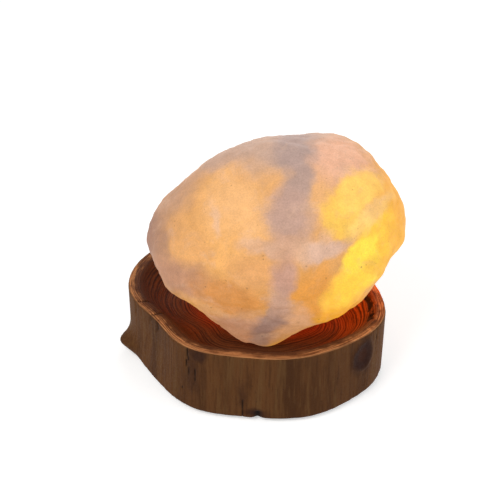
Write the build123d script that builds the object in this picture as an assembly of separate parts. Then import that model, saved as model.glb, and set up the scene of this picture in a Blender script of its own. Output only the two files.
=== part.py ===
from build123d import *

import math
import os

# Salt crystal lamp: a lump of rock salt that stands in the dish of a wooden slice of trunk.
# A small screw bulb on the lamp axis lights it from a pocket drilled up into the crystal.
# Millimetres, +Z up, front towards -Y. The pieces are drawn about the middle of the wood's
# plan with the table at z = 0, and moved at the end so that the origin is under the middle
# of the finished lamp.

# ---- wood base ----------------------------------------------------------------------------
# Distance of the wood's side from its middle, every 22.5 degrees from +X towards +Y.
wood_radii = [93, 89, 87, 86, 88, 92, 97, 96, 89, 78, 79, 82, 82, 88, 93, 99]
foot_height = 3.0
wood_height = 49.0
spur_reach = 8.0            # root spur, low on the left side
spur_angle = 182.0
spur_half_width = 8.0       # degrees
spur_height = 12.0
rim_width = 9.0             # flat pale rim around the dish
dish_depth = 19.0
dish_slope = 26.0           # width of the curved wall between the rim and the dish's floor
web_thickness = 11.0        # wood between the dish's floor and the hollow underneath

# ---- lamp axis and the crystal ------------------------------------------------------------
lamp_x = 20.0
lamp_y = 7.0
crystal_middle = (17.0, 10.0, 96.0)
crystal_half = (92.0, 75.0, 76.0)
crystal_lean = (6.0, -9.0)  # the crystal's summit from the lamp axis
face_sharpness = 13.0       # higher gives flatter faces and crisper edges
dish_clearance = 3.0        # least gap between the crystal and the rim, across
pocket_radius = 20.0
pocket_end_radius = 10.0
pocket_taper = 8.0
bulb_headroom = 18.0        # above the bulb's top, so that it can be screwed out

# Broad faces of the crystal: direction faced (degrees round from +X, degrees up) and how far
# out the face stands, as a share of the half sizes' ellipsoid.
crystal_faces = [
    # outline seen from the front, from the left over the top to the right
    (180, 0, 1.16), (166, 23, 0.94), (148, 42, 0.88), (129, 53, 0.88), (106, 59, 0.90),
    (90, 60, 0.92), (46, 51, 1.14), (32, 42, 1.12), (19, 29, 1.12), (4, 6, 1.24),
    # its lower edge, from the right to the left
    (-10, -16, 0.96), (-23, -34, 0.93), (-47, -52, 0.95), (-85, -60, 1.25),
    (-143, -46, 0.94), (-168, -20, 1.03),
    # front
    (-115, 12, 1.00), (-62, 8, 1.00), (-95, 50, 1.00), (-90, -25, 1.05), (-150, 25, 1.00),
    (-28, 22, 1.07), (-40, 55, 1.08), (-140, 55, 0.96), (0, 80, 1.06),
    # back
    (100, 8, 1.00), (60, 30, 1.00), (140, 15, 1.00), (90, -35, 1.00), (25, -20, 1.00),
    (150, -35, 1.00), (35, 5, 1.00),
]
# Low faces that keep the crystal inside the dish, all round but for the front.
dish_face_angles = [0, 30, 60, 90, 120, 150, 180, 210, 330]
# Shallow hollows, and swellings where the depth is negative: direction (degrees round,
# degrees up), depth and width as shares of the distance from the crystal's middle.
crystal_hollows = [
    (-12, -14, 0.030, 0.13), (-60, -57, 0.045, 0.13), (-124, -52, 0.030, 0.10),
    (-149, -40, 0.030, 0.10), (168, 19, 0.035, 0.16), (-75, 20, 0.025, 0.20),
    (-110, -15, 0.020, 0.18), (120, 25, 0.030, 0.22), (60, -5, 0.030, 0.20),
    (1, 28, 0.055, 0.14), (178, 37, 0.036, 0.13), (-162, -7, 0.022, 0.09),
    (-72, -38, 0.048, 0.10),
    (-14, 4, -0.034, 0.09), (18, 60, -0.024, 0.18), (-174, 13, -0.026, 0.13),
    (-147, -15, -0.024, 0.09), (-115, -42, -0.060, 0.13), (-98, -50, -0.030, 0.10),
]
crystal_levels = 18         # horizontal outlines that the crystal is drawn through
crystal_points = 32         # points on each of them

# ---- hollow under the base, its cover and the feet ----------------------------------------
hollow_x = 12.0
hollow_y = 3.0
hollow_radius = 46.0
cover_ledge = 8.0           # wood around the hollow that the cover is screwed to
cover_thickness = 2.0
cover_recess = 0.5
cover_clearance = 0.3       # around its edge
cover_screw_angles = [30, 150, 270]
wood_screw_radius = 1.5
wood_screw_length = 14.0
wood_screw_head_radius = 3.2
wood_screw_head_height = 1.8
plate_screw_radius = 1.4
plate_screw_length = 9.0
plate_screw_head_radius = 2.8
plate_screw_head_height = 1.6
screw_clearance = 0.05      # around a screw or a stem in its hole
screw_pass = 0.3            # around a screw in what it holds down
foot_angles = [45, 135, 225, 315]
foot_inset = 13.0           # from the wood's side to a foot's middle
foot_radius = 8.0
foot_edge = 0.8             # bevel around its underside
foot_stem_radius = 3.0
foot_stem_length = 8.0

# ---- cable inlet in the back wall ---------------------------------------------------------
inlet_height = 13.0
inlet_radius = 3.6
grommet_radius = 6.0
grommet_length = 16.0
grommet_flange_radius = 8.5
grommet_flange = 2.5
passage_radius = 4.5        # from the grommet into the hollow
spot_depth = 2.0            # flat seat for the grommet's flange, below the least radius there

# ---- plate, nipple and nut that carry the lamp holder -------------------------------------
plate_radius = 24.0
plate_thickness = 1.2
plate_screw_circle = 19.5
plate_screw_angles = [90, 210, 330]
holder_hole_radius = 15.0   # through the floor of the dish
nipple_radius = 5.0
nipple_bore = 4.0
nipple_below = 6.5          # length under the plate's top face
nipple_above = 5.0          # length above it
nut_flats = 14.0
nut_height = 3.0
washer_radius = 9.0
washer_thickness = 1.2
thread_clearance = 0.05     # around the nipple in what it passes through

# ---- lamp holder --------------------------------------------------------------------------
holder_radius = 14.0
holder_wall = 1.5
dome_floor = 4.0
dome_height = 14.0
dome_edge = 4.0             # bevel around its underside
spigot_height = 3.0
spigot_wall = 1.1
skirt_height = 30.0
skirt_bore = 10.0
skirt_edge = 1.0            # bevel around its top
insert_flange = 4.0
insert_radius = 9.6
insert_bore = 7.9
insert_height = 23.0
fit_gap = 0.05              # between moulded pieces that push or screw together
shell_wall = 0.35
shell_floor = 0.5
shell_floor_hole = 4.0
shell_plain_height = 3.2
shell_height = 18.0
shell_lap = 0.2             # of the threaded part into the plain foot
seam = 0.005                # keeps the foot's wall clear of the thread's crests
contact_thickness = 0.5
contact_width = 3.6
contact_rise = 2.2          # of the centre contact's tip above the insert's flange
contact_foot_width = 10.0
contact_foot_end = 2.8      # past its terminal screw's middle
contact_tip_start = 1.0     # the level tip, measured from the lamp axis
contact_tip_end = 2.6
leg_gap = 0.1               # around a contact's leg in the insert
terminal_offset = 7.0       # of a terminal screw from the lamp axis
terminal_screw_radius = 1.25
terminal_screw_length = 3.4
terminal_head_radius = 2.4
terminal_head_height = 1.5
live_leg_offset = 3.0
neutral_leg_offset = 5.0

# ---- small Edison screw bulb --------------------------------------------------------------
thread_pitch = 2.822
thread_mean_radius = 6.545
thread_depth = 0.4          # each side of the mean radius
thread_gap = 0.3            # between the bulb's cap and the holder's threaded shell
contact_gap = 0.3           # between the bulb's lowest point and the spring under it
cap_wall = 0.35
cap_thread_height = 14.4
cap_rim_radius = 7.5
cap_rim_height = 2.5
cap_floor = 0.6
cap_floor_hole = 3.5
cap_neck_gap = 0.3          # cement between the cap and the glass neck
insulator_radius = 5.2
insulator_height = 2.1
button_radius = 3.0
button_height = 0.9
button_pin_radius = 1.5
bulb_length = 58.0
glass_radius = 12.0
glass_neck_radius = 5.4
glass_neck_depth = 6.36     # of the neck inside the cap
glass_crown_height = 16.2   # from the widest place to the top
glass_wall = 0.6
stem_radius = 2.0
stem_height = 17.0
stem_flare_radius = 4.6
stem_flare = 0.8
stem_shoulder = 1.0         # bevel around its top
lead_wire_radius = 0.3
lead_wire_gap = 0.02        # around a lead wire in the stem
lead_wire_offset = 1.0      # from the lamp axis inside the stem
lead_wire_start = 2.0       # above the stem's bottom
lead_wire_fork = 1.0        # above the stem's top
lead_wire_rise = 7.0        # from the fork to the straight posts
lead_wire_post = 3.0
lead_wire_spread = 6.0
lead_wire_bend = 1.5
filament_drop = 0.6         # below the tops of the lead wires
filament_radius = 0.2
filament_turns = 9
filament_coil_radius = 0.8
support_radius = 0.2
support_offset = 0.7        # of the two supports from the lead wires' plane
support_start = 1.5         # straight part above the stem
support_reach = 1.8         # along the coil
support_hook = 0.1          # a support's tip overlaps the coil's lowest point by this
support_bend = 0.4

# ---- terminal block and leads -------------------------------------------------------------
block_width = 16.0
block_length = 14.0
block_height = 10.0
block_from_hollow = 36.0    # from the middle of the hollow towards the inlet
sleeve_radius = 2.2
sleeve_bore = 1.4
sleeve_depth = 4.0          # of the sleeves' middle below the block's top
sleeve_spacing = 8.0
sleeve_overhang = 1.0
sleeve_screw_spacing = 7.0
sleeve_screw_radius = 1.2
sleeve_screw_head = 1.9
sleeve_screw_head_height = 1.6
sleeve_screw_stand = 0.6    # of the head's underside outside the sleeve
sleeve_screw_pass = 0.2     # around a screw's head in its well
block_screw_length = 15.0
lead_radius = 1.0
lead_spacing = 2.8          # of the two leads inside the nipple
lead_entry = 1.0            # into the block
lead_run = 8.0              # out of the block before it turns
lead_sag = 1.0              # over that run
lead_bend = 3.0
lead_low_point = 9.5
lead_above_nipple = 3.0
lead_post = 6.0             # straight up to its terminal
lead_gap = 0.3              # beside the terminal screw's head

past = 1.0                  # how far a cut runs past the faces that it opens
join = 0.01                 # overlap that makes two rods one piece

# ---- sizes that follow --------------------------------------------------------------------
cover_radius = hollow_radius + cover_ledge
cover_screw_circle = hollow_radius + cover_ledge / 2
wood_bottom = foot_height
wood_top = wood_bottom + wood_height
dish_floor = wood_top - dish_depth
hollow_ceiling = dish_floor - web_thickness
cover_bottom = wood_bottom + cover_recess
cover_top = cover_bottom + cover_thickness
plate_bottom = hollow_ceiling - plate_thickness
insert_bottom = hollow_ceiling + dome_height + spigot_height
insert_flange_top = insert_bottom + insert_flange
bulb_bottom = insert_flange_top + contact_rise + contact_thickness + contact_gap
cap_bottom = bulb_bottom + button_height + insulator_height
cap_thread_top = cap_bottom + cap_floor + cap_thread_height
neck_bottom = cap_thread_top - glass_neck_depth
stem_top = neck_bottom + stem_height
lead_wire_top = stem_top + lead_wire_fork + lead_wire_rise + lead_wire_post
filament_height = lead_wire_top - filament_drop
bulb_top = bulb_bottom + bulb_length
pocket_top = bulb_top + bulb_headroom
crystal_foot = dish_floor
sleeve_height = hollow_ceiling - sleeve_depth

UP = (Align.CENTER, Align.CENTER, Align.MIN)


def rod(radius, bottom, top, x=0.0, y=0.0):
    """Upright cylinder between two heights."""
    return Pos(x, y, bottom) * Cylinder(radius, top - bottom, align=UP)


def tube(outer, inner, bottom, top, x=0.0, y=0.0):
    """Upright tube; its bore is cut a little past both ends."""
    return rod(outer, bottom, top, x, y) - rod(inner, bottom - past, top + past, x, y)


def turned(points):
    """Solid turned about the Z axis from a closed outline of (radius, height) points."""
    outline = make_face(Polyline(*[(r, 0, z) for r, z in points], close=True))
    return revolve(outline, axis=Axis.Z)


def on_lamp_axis(piece):
    return Pos(lamp_x, lamp_y, 0) * piece


def around(angles, circle, x=0.0, y=0.0):
    """Points on a circle about (x, y), one for each angle in degrees."""
    return [
        (x + circle * math.cos(math.radians(a)), y + circle * math.sin(math.radians(a)))
        for a in angles
    ]


# ---- wood ---------------------------------------------------------------------------------


def wood_radius(angle):
    """Smooth periodic curve through wood_radii, by their Fourier sum; angle in radians."""
    count = len(wood_radii)
    total = sum(wood_radii) / count
    for k in range(1, count // 2 + 1):
        share = 1 if k == count // 2 else 2
        for j, radius in enumerate(wood_radii):
            total += share * radius * math.cos(k * (angle - 2 * math.pi * j / count)) / count
    return total


def spur(angle, height):
    """How far the root spur stands out of the side at an angle and a height above the wood's bottom."""
    turn = (math.degrees(angle) - spur_angle + 180) % 360 - 180
    fade = max(0.0, 1 - height / spur_height) ** 0.7
    return spur_reach * fade * math.exp(-((turn / spur_half_width) ** 2))


def closed_outline(radius_at, height, count=48):
    """Smooth closed wire at one height, from a radius for each angle about the wood's middle."""
    points = []
    for i in range(count):
        angle = 2 * math.pi * i / count
        radius = radius_at(angle)
        points.append((radius * math.cos(angle), radius * math.sin(angle), height))
    return Wire([Edge.make_spline(points, periodic=True)])


def wood_block():
    """The slice of trunk with its root spur, before anything is cut into it."""
    levels = [0.0, spur_height / 3, 2 * spur_height / 3, spur_height, wood_height]
    wires = [
        closed_outline(lambda a, h=h: wood_radius(a) + spur(a, h), wood_bottom + h)
        for h in levels
    ]
    return Solid.make_loft(wires, ruled=True)


def dish_cut():
    """What is hollowed out of the top: steep at the rim and level at the floor."""
    steps = 5
    above = 5.0
    wires = [closed_outline(lambda a: wood_radius(a) - rim_width, wood_top + above)]
    for i in range(steps + 1):
        share = i / steps
        height = wood_top - dish_depth * math.sin(share * math.pi / 2)
        wires.append(
            closed_outline(lambda a, s=share: wood_radius(a) - rim_width - s * dish_slope, height)
        )
    return Solid.make_loft(wires[::-1], ruled=True)


def foot_places():
    return [
        around([a], wood_radius(math.radians(a)) - foot_inset)[0] for a in foot_angles
    ]


def inlet_face():
    """Y of the flat seat that is cut into the back wall for the grommet's flange."""
    back = wood_radius(math.pi / 2)
    sides = (hollow_x - grommet_flange_radius, hollow_x, hollow_x + grommet_flange_radius)
    angles = [math.atan2(back, x) for x in sides]
    return min(wood_radius(a) * math.sin(a) for a in angles) - spot_depth


def along_y(radius, start, end, x, z):
    """Cylinder along +Y between two values of y."""
    return Pos(x, start, z) * Rot(-90, 0, 0) * Cylinder(radius, end - start, align=UP)


def inlet_cut():
    face = inlet_face()
    outside = max(wood_radii) + spur_reach
    seat = along_y(
        grommet_flange_radius + fit_gap, face, outside, hollow_x, inlet_height
    )
    bush = along_y(grommet_radius + fit_gap, face - grommet_length, face + past, hollow_x, inlet_height)
    passage = along_y(passage_radius, hollow_y, face, hollow_x, inlet_height)
    return seat + bush + passage


def wood_base():
    body = wood_block() - dish_cut()
    body -= rod(hollow_radius, wood_bottom - past, hollow_ceiling, hollow_x, hollow_y)
    body -= rod(cover_radius, wood_bottom - past, cover_top, hollow_x, hollow_y)
    body -= rod(holder_hole_radius, hollow_ceiling - past, dish_floor + past, lamp_x, lamp_y)
    body -= inlet_cut()
    for x, y in foot_places():
        top = wood_bottom + foot_stem_length + screw_clearance
        body -= rod(foot_stem_radius + screw_clearance, wood_bottom - past, top, x, y)
    for x, y in around(cover_screw_angles, cover_screw_circle, hollow_x, hollow_y):
        top = cover_bottom + wood_screw_length + screw_clearance
        body -= rod(wood_screw_radius + screw_clearance, cover_bottom, top, x, y)
    for x, y in around(plate_screw_angles, plate_screw_circle, lamp_x, lamp_y):
        top = plate_bottom + plate_screw_length + screw_clearance
        body -= rod(plate_screw_radius + screw_clearance, plate_bottom, top, x, y)
    body -= block_screw_hole()
    return body


# ---- crystal ------------------------------------------------------------------------------


def facing(turn, lift):
    """Unit vector that points turn degrees round from +X and lift degrees up."""
    a, e = math.radians(turn), math.radians(lift)
    return (math.cos(e) * math.cos(a), math.cos(e) * math.sin(a), math.sin(e))


def broad_planes():
    """Each face as its normal over its distance from the crystal's middle."""
    planes = []
    for turn, lift, reach in crystal_faces:
        n = facing(turn, lift)
        distance = reach * math.sqrt(sum((h * c) ** 2 for h, c in zip(crystal_half, n)))
        planes.append(tuple(c / distance for c in n))
    return planes


def dish_planes():
    """Faces through the dish floor's edge and the rim's inner edge, so the crystal fits inside."""
    planes = []
    for turn in dish_face_angles:
        angle = math.radians(turn)
        rim = wood_radius(angle) - rim_width + dish_clearance
        low = rim - dish_slope
        run, rise = rim - low, wood_top - dish_floor
        length = math.hypot(run, rise)
        n = (math.cos(angle) * rise / length, math.sin(angle) * rise / length, -run / length)
        edge = (low * math.cos(angle), low * math.sin(angle), dish_floor)
        distance = sum(c * (e - m) for c, e, m in zip(n, edge, crystal_middle))
        planes.append(tuple(c / distance for c in n))
    return planes


def hollow_directions():
    return [(facing(turn, lift), depth, width) for turn, lift, depth, width in crystal_hollows]


CRYSTAL_PLANES = broad_planes() + dish_planes()
CRYSTAL_HOLLOWS = hollow_directions()


def crystal_level(x, y, z):
    """Under 1 inside the crystal, 1 on its surface and over 1 outside.

    The planes are blended with a power sum, which rounds their edges; a hollow pushes the
    surface in by its depth around its own direction.
    """
    v = (x - crystal_middle[0], y - crystal_middle[1], z - crystal_middle[2])
    total = 0.0
    for g in CRYSTAL_PLANES:
        dot = g[0] * v[0] + g[1] * v[1] + g[2] * v[2]
        if dot > 0:
            total += dot**face_sharpness
    level = total ** (1 / face_sharpness)
    size = math.sqrt(v[0] ** 2 + v[1] ** 2 + v[2] ** 2) or 1.0
    keep = 1.0
    for n, depth, width in CRYSTAL_HOLLOWS:
        apart = sum((c / size - d) ** 2 for c, d in zip(v, n))
        keep -= depth * math.exp(-apart / (2 * width**2))
    return level / keep


def crossing(inside, outside, level_at):
    """Value between two others where level_at passes 1, by halving."""
    for _ in range(32):
        middle = (inside + outside) / 2
        if level_at(middle) < 1:
            inside = middle
        else:
            outside = middle
    return inside


def crystal_centre(height, summit):
    """Point inside the crystal at one height, on a line from the lamp axis to the summit."""
    share = (height - crystal_foot) / (summit - crystal_foot)
    return lamp_x + share * crystal_lean[0], lamp_y + share * crystal_lean[1]


def crystal_summit():
    x, y = lamp_x + crystal_lean[0], lamp_y + crystal_lean[1]
    return crossing(crystal_middle[2], crystal_middle[2] + 2 * crystal_half[2],
                    lambda z: crystal_level(x, y, z))


def crystal_outline(height, summit):
    cx, cy = crystal_centre(height, summit)
    points = []
    for i in range(crystal_points):
        angle = 2 * math.pi * i / crystal_points
        c, s = math.cos(angle), math.sin(angle)
        radius = crossing(
            0, 2 * crystal_half[0], lambda r: crystal_level(cx + r * c, cy + r * s, height)
        )
        points.append((cx + radius * c, cy + radius * s, height))
    return Wire([Edge.make_spline(points, periodic=True)])


def salt_crystal():
    summit = crystal_summit()
    last = 0.97             # share of the way at which the summit is cut level
    wires = []
    for i in range(crystal_levels):
        share = last * i / (crystal_levels - 1)
        height = crystal_foot + (summit - crystal_foot) * (1 - math.cos(math.pi * share)) / 2
        wires.append(crystal_outline(height, summit))
    body = Solid.make_loft(wires, ruled=False)
    pocket = turned([
        (0, crystal_foot - past), (pocket_radius, crystal_foot - past),
        (pocket_radius, pocket_top - pocket_taper), (pocket_end_radius, pocket_top),
        (0, pocket_top),
    ])
    return body - on_lamp_axis(pocket)


# ---- underside ----------------------------------------------------------------------------


def wood_screw(radius, length, head_radius, head_height, under_head):
    """Round-headed screw with a pointed end; under_head is the height of its head's seat."""
    point = 2 * radius
    slot = 0.35 * head_height
    body = turned([
        (0, under_head - head_height), (0.7 * head_radius, under_head - head_height),
        (head_radius, under_head - 0.5 * head_height), (head_radius, under_head),
        (radius, under_head), (radius, under_head + length - point),
        (0.2, under_head + length), (0, under_head + length),
    ])
    cross = Box(1.3 * head_radius, 0.25 * head_radius, 2 * slot)
    cross += Box(0.25 * head_radius, 1.3 * head_radius, 2 * slot)
    return body - Pos(0, 0, under_head - head_height) * cross


def bottom_cover():
    cover = rod(cover_radius - cover_clearance, cover_bottom, cover_top, hollow_x, hollow_y)
    for x, y in around(cover_screw_angles, cover_screw_circle, hollow_x, hollow_y):
        cover -= rod(wood_screw_radius + screw_pass, cover_bottom - past, cover_top + past, x, y)
    return cover


def cover_screws():
    screw = wood_screw(wood_screw_radius, wood_screw_length, wood_screw_head_radius,
                       wood_screw_head_height, cover_bottom)
    return [
        Pos(x, y, 0) * screw
        for x, y in around(cover_screw_angles, cover_screw_circle, hollow_x, hollow_y)
    ]


def rubber_feet():
    foot = turned([
        (0, 0), (foot_radius - foot_edge, 0), (foot_radius, foot_edge), (foot_radius, foot_height),
        (foot_stem_radius, foot_height), (foot_stem_radius, foot_height + foot_stem_length),
        (0, foot_height + foot_stem_length),
    ])
    return [Pos(x, y, 0) * foot for x, y in foot_places()]


def cable_grommet():
    face = inlet_face()
    body = along_y(grommet_radius, face - grommet_length + fit_gap, face, hollow_x, inlet_height)
    body += along_y(grommet_flange_radius, face, face + grommet_flange, hollow_x, inlet_height)
    start, end = face - grommet_length - past, face + grommet_flange + past
    return body - along_y(inlet_radius, start, end, hollow_x, inlet_height)


# ---- what carries the lamp holder ---------------------------------------------------------


def mounting_plate():
    plate = tube(plate_radius, nipple_radius + thread_clearance, plate_bottom, hollow_ceiling)
    for x, y in around(plate_screw_angles, plate_screw_circle):
        plate -= rod(plate_screw_radius + screw_pass, plate_bottom - past, hollow_ceiling + past, x, y)
    return on_lamp_axis(plate)


def plate_screws():
    screw = wood_screw(plate_screw_radius, plate_screw_length, plate_screw_head_radius,
                       plate_screw_head_height, plate_bottom)
    return [
        Pos(x, y, 0) * screw
        for x, y in around(plate_screw_angles, plate_screw_circle, lamp_x, lamp_y)
    ]


def holder_nipple():
    bottom, top = hollow_ceiling - nipple_below, hollow_ceiling + nipple_above
    return on_lamp_axis(tube(nipple_radius, nipple_bore, bottom, top))


def nipple_washer():
    hole = nipple_radius + thread_clearance
    return on_lamp_axis(tube(washer_radius, hole, plate_bottom - washer_thickness, plate_bottom))


def nipple_nut():
    top = plate_bottom - washer_thickness
    body = extrude(RegularPolygon(nut_flats / 2, 6, major_radius=False), nut_height)
    body = Pos(0, 0, top - nut_height) * body
    hole = rod(nipple_radius + thread_clearance, top - nut_height - past, top + past)
    return on_lamp_axis(body - hole)


# ---- lamp holder --------------------------------------------------------------------------


def holder_dome():
    """Cup that screws onto the nipple; its thin upper lip goes inside the skirt."""
    bottom = hollow_ceiling
    shoulder = bottom + dome_height
    lip = shoulder + spigot_height
    spigot = holder_radius - holder_wall - fit_gap
    inside = spigot - spigot_wall
    hole = nipple_radius + thread_clearance
    return on_lamp_axis(turned([
        (hole, bottom), (holder_radius - dome_edge, bottom), (holder_radius, bottom + dome_edge),
        (holder_radius, shoulder), (spigot, shoulder), (spigot, lip), (inside, lip),
        (inside, bottom + dome_floor), (hole, bottom + dome_floor),
    ]))


def holder_skirt():
    """Sleeve that screws over the dome's lip and holds the ceramic insert down on it."""
    bottom = hollow_ceiling + dome_height
    top = bottom + skirt_height
    socket = holder_radius - holder_wall
    return on_lamp_axis(turned([
        (socket, bottom), (holder_radius, bottom), (holder_radius, top - skirt_edge),
        (holder_radius - skirt_edge, top), (skirt_bore, top), (skirt_bore, insert_flange_top),
        (socket, insert_flange_top),
    ]))


def leg_slot(offset):
    """Slot through the insert's flange for a contact's leg."""
    slot = Box(contact_thickness + 2 * leg_gap, contact_width + 2 * leg_gap, 2 * insert_flange)
    return Pos(offset, 0, insert_bottom) * slot


def holder_insert():
    flange_radius = holder_radius - holder_wall - 2 * fit_gap
    body = rod(flange_radius, insert_bottom, insert_flange_top)
    body += tube(insert_radius, insert_bore, insert_flange_top - join, insert_bottom + insert_height)
    body -= leg_slot(-live_leg_offset)
    body -= leg_slot(neutral_leg_offset)
    for side in (-1, 1):
        top = insert_bottom + terminal_screw_length - contact_thickness + screw_clearance
        hole = rod(terminal_screw_radius + screw_clearance, insert_bottom - past, top)
        body -= Pos(side * terminal_offset, 0, 0) * hole
    return on_lamp_axis(body)


def thread_solid(radius, bottom, height, bore=None):
    """Rod or tube with a rounded right-hand thread: level circles carried up a thin helix."""
    path = Wire([Edge.make_helix(thread_pitch, height, thread_depth)])
    off_axis = Plane((thread_depth, 0, 0))
    holes = [Wire.make_circle(bore, off_axis)] if bore else []
    section = Wire.make_circle(radius, off_axis)
    body = Solid.sweep(section, path, holes, mode=Vector(0, 0, 1))
    start = 360 * bottom / thread_pitch
    return Pos(0, 0, bottom) * Rot(0, 0, start) * body


def holder_thread():
    """Thin brass shell with the holder's thread, on a plain foot that rests on the insert."""
    bore = thread_mean_radius + thread_gap
    outside = bore + shell_wall
    plain_inside = bore + thread_depth
    plain_top = insert_flange_top + shell_plain_height
    height = shell_height - shell_plain_height
    foot = turned([
        (shell_floor_hole, insert_flange_top), (outside + thread_depth + seam, insert_flange_top),
        (outside + thread_depth + seam, plain_top), (plain_inside + seam, plain_top),
        (plain_inside + seam, insert_flange_top + shell_floor),
        (shell_floor_hole, insert_flange_top + shell_floor),
    ])
    threaded = thread_solid(outside, plain_top - shell_lap, height + shell_lap, bore)
    return on_lamp_axis(foot + threaded)


def strip(points, width):
    """Strip of sheet metal: an outline of (x, z) points given a width along Y."""
    outline = make_face(Polyline(*[(x, 0, z) for x, z in points], close=True))
    return extrude(outline, width / 2, both=True)


def terminal_foot(inner, outer):
    """Level end of a contact under the insert, with its screw's hole at terminal_offset."""
    low, high = insert_bottom - contact_thickness, insert_bottom
    side = 1 if outer > 0 else -1
    foot = strip([(inner, low), (outer, low), (outer, high), (inner, high)], contact_foot_width)
    hole = rod(terminal_screw_radius + screw_clearance, low - past, high + past)
    return foot - Pos(side * terminal_offset, 0, 0) * hole


def holder_centre_contact():
    """Springy brass strip under the bulb, with a leg down to the live terminal."""
    t = contact_thickness
    leg = -live_leg_offset
    base = insert_flange_top
    spring = strip([
        (leg - t / 2, insert_bottom - t), (leg + t / 2, insert_bottom - t),
        (leg + t / 2, base), (leg + 2 * t, base), (contact_tip_start, base + contact_rise),
        (contact_tip_end, base + contact_rise), (contact_tip_end, base + contact_rise + t),
        (contact_tip_start - 0.6 * t, base + contact_rise + t),
        (leg + t, base + t), (leg - t / 2, base + t),
    ], contact_width)
    return on_lamp_axis(spring + terminal_foot(leg, -terminal_offset - contact_foot_end))


def holder_side_contact():
    """Brass strip from under the threaded shell's foot down to the neutral terminal."""
    t = contact_thickness
    leg = neutral_leg_offset
    upright = strip([
        (leg - t / 2, insert_bottom - t), (leg + t / 2, insert_bottom - t),
        (leg + t / 2, insert_flange_top), (leg - t / 2, insert_flange_top),
    ], contact_width)
    return on_lamp_axis(upright + terminal_foot(leg, terminal_offset + contact_foot_end))


def slotted_screw(radius, length, head_radius, head_height, under_head):
    """Machine screw that points up, with a slot across its head."""
    body = rod(head_radius, under_head - head_height, under_head)
    body += rod(radius, under_head, under_head + length)
    slot = Box(2.2 * head_radius, 0.3 * head_radius, head_height)
    return body - Pos(0, 0, under_head - head_height) * slot


def holder_terminal_screws():
    under_head = insert_bottom - contact_thickness
    screw = slotted_screw(terminal_screw_radius, terminal_screw_length, terminal_head_radius,
                          terminal_head_height, under_head)
    return [on_lamp_axis(Pos(side * terminal_offset, 0, 0) * screw) for side in (-1, 1)]


# ---- bulb ---------------------------------------------------------------------------------


def bulb_cap():
    """Thin metal cap: a threaded wall, a floor around the insulator and a flared rim."""
    floor_top = cap_bottom + cap_floor
    lap = cap_floor / 2
    wall = thread_solid(thread_mean_radius, cap_bottom + lap, cap_thread_top - cap_bottom - lap)
    wall -= thread_solid(thread_mean_radius - cap_wall, floor_top, cap_thread_height + past)
    floor = turned([
        (0, cap_bottom), (insulator_radius, cap_bottom),
        (insulator_radius + lap, cap_bottom + lap), (insulator_radius + lap, cap_bottom + 1.5 * lap),
        (0, cap_bottom + 1.5 * lap),
    ])
    neck = glass_neck_radius + cap_neck_gap
    inside = cap_rim_radius - cap_wall
    rim = turned([
        (neck, cap_thread_top - lap), (inside, cap_thread_top - lap),
        (cap_rim_radius, cap_thread_top + cap_rim_height / 3),
        (cap_rim_radius, cap_thread_top + cap_rim_height), (inside, cap_thread_top + cap_rim_height),
        (inside, cap_thread_top + cap_rim_height / 2), (neck, cap_thread_top + lap),
    ])
    hole = rod(cap_floor_hole, cap_bottom - past, floor_top + past)
    return on_lamp_axis(wall + floor + rim - hole)


def bulb_cap_insulator():
    return on_lamp_axis(turned([
        (button_pin_radius, bulb_bottom + button_height), (button_radius, bulb_bottom + button_height),
        (insulator_radius, cap_bottom), (button_pin_radius, cap_bottom),
    ]))


def bulb_centre_contact():
    return on_lamp_axis(turned([
        (0, bulb_bottom), (button_radius - 0.6, bulb_bottom),
        (button_radius, bulb_bottom + button_height), (button_pin_radius, bulb_bottom + button_height),
        (button_pin_radius, cap_bottom), (0, cap_bottom),
    ]))


def glass_profile(inset):
    """Outline of the bulb's glass, inset by a wall: a neck that swells to a rounded top."""
    neck = glass_neck_radius - inset
    belly = glass_radius - inset
    neck_top = cap_thread_top + cap_rim_height
    widest = bulb_top - glass_crown_height
    top = bulb_top - inset
    swell = Spline(
        (neck, 0, neck_top), (belly, 0, widest),
        tangents=[(0.25, 0, 1), (0, 0, 1)],
    )
    crown = Spline(
        (belly, 0, widest), (0, 0, top),
        tangents=[(0, 0, 1), (-1, 0, 0)],
    )
    sides = Polyline((0, 0, top), (0, 0, neck_bottom), (neck, 0, neck_bottom), (neck, 0, neck_top))
    return revolve(make_face(sides + swell + crown), axis=Axis.Z)


def bulb_glass():
    opening = rod(glass_neck_radius - glass_wall, neck_bottom - past, neck_bottom + past)
    return on_lamp_axis(glass_profile(0) - glass_profile(glass_wall) - opening)


def wire_path(points, radius, bend):
    """Round wire along straight runs joined by arcs."""
    path = FilletPolyline(*points, radius=bend)
    start = Plane(origin=path @ 0, z_dir=path % 0)
    return sweep(start * Circle(radius), path=path)


def lead_wire_points(side):
    """Corners of a lead wire's path, out of the stem and up beside the coil."""
    near, far = side * lead_wire_offset, side * lead_wire_spread
    fork = stem_top + lead_wire_fork
    return [
        (near, 0, neck_bottom + lead_wire_start), (near, 0, fork),
        (far, 0, fork + lead_wire_rise), (far, 0, lead_wire_top),
    ]


def bulb_stem():
    """Glass tube with a flare that closes the neck; the lead wires pass through it."""
    bottom = neck_bottom
    body = turned([
        (0, bottom), (stem_flare_radius, bottom), (stem_flare_radius, bottom + stem_flare),
        (stem_radius, bottom + 3 * stem_flare), (stem_radius, stem_top - stem_shoulder),
        (stem_radius - stem_shoulder, stem_top), (0, stem_top),
    ])
    for side in (-1, 1):
        body -= rod(lead_wire_radius + lead_wire_gap, bottom - past, stem_top + past, side * lead_wire_offset)
    return on_lamp_axis(body)


def bulb_lead_wires():
    return [
        on_lamp_axis(wire_path(lead_wire_points(side), lead_wire_radius, lead_wire_bend))
        for side in (-1, 1)
    ]


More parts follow.
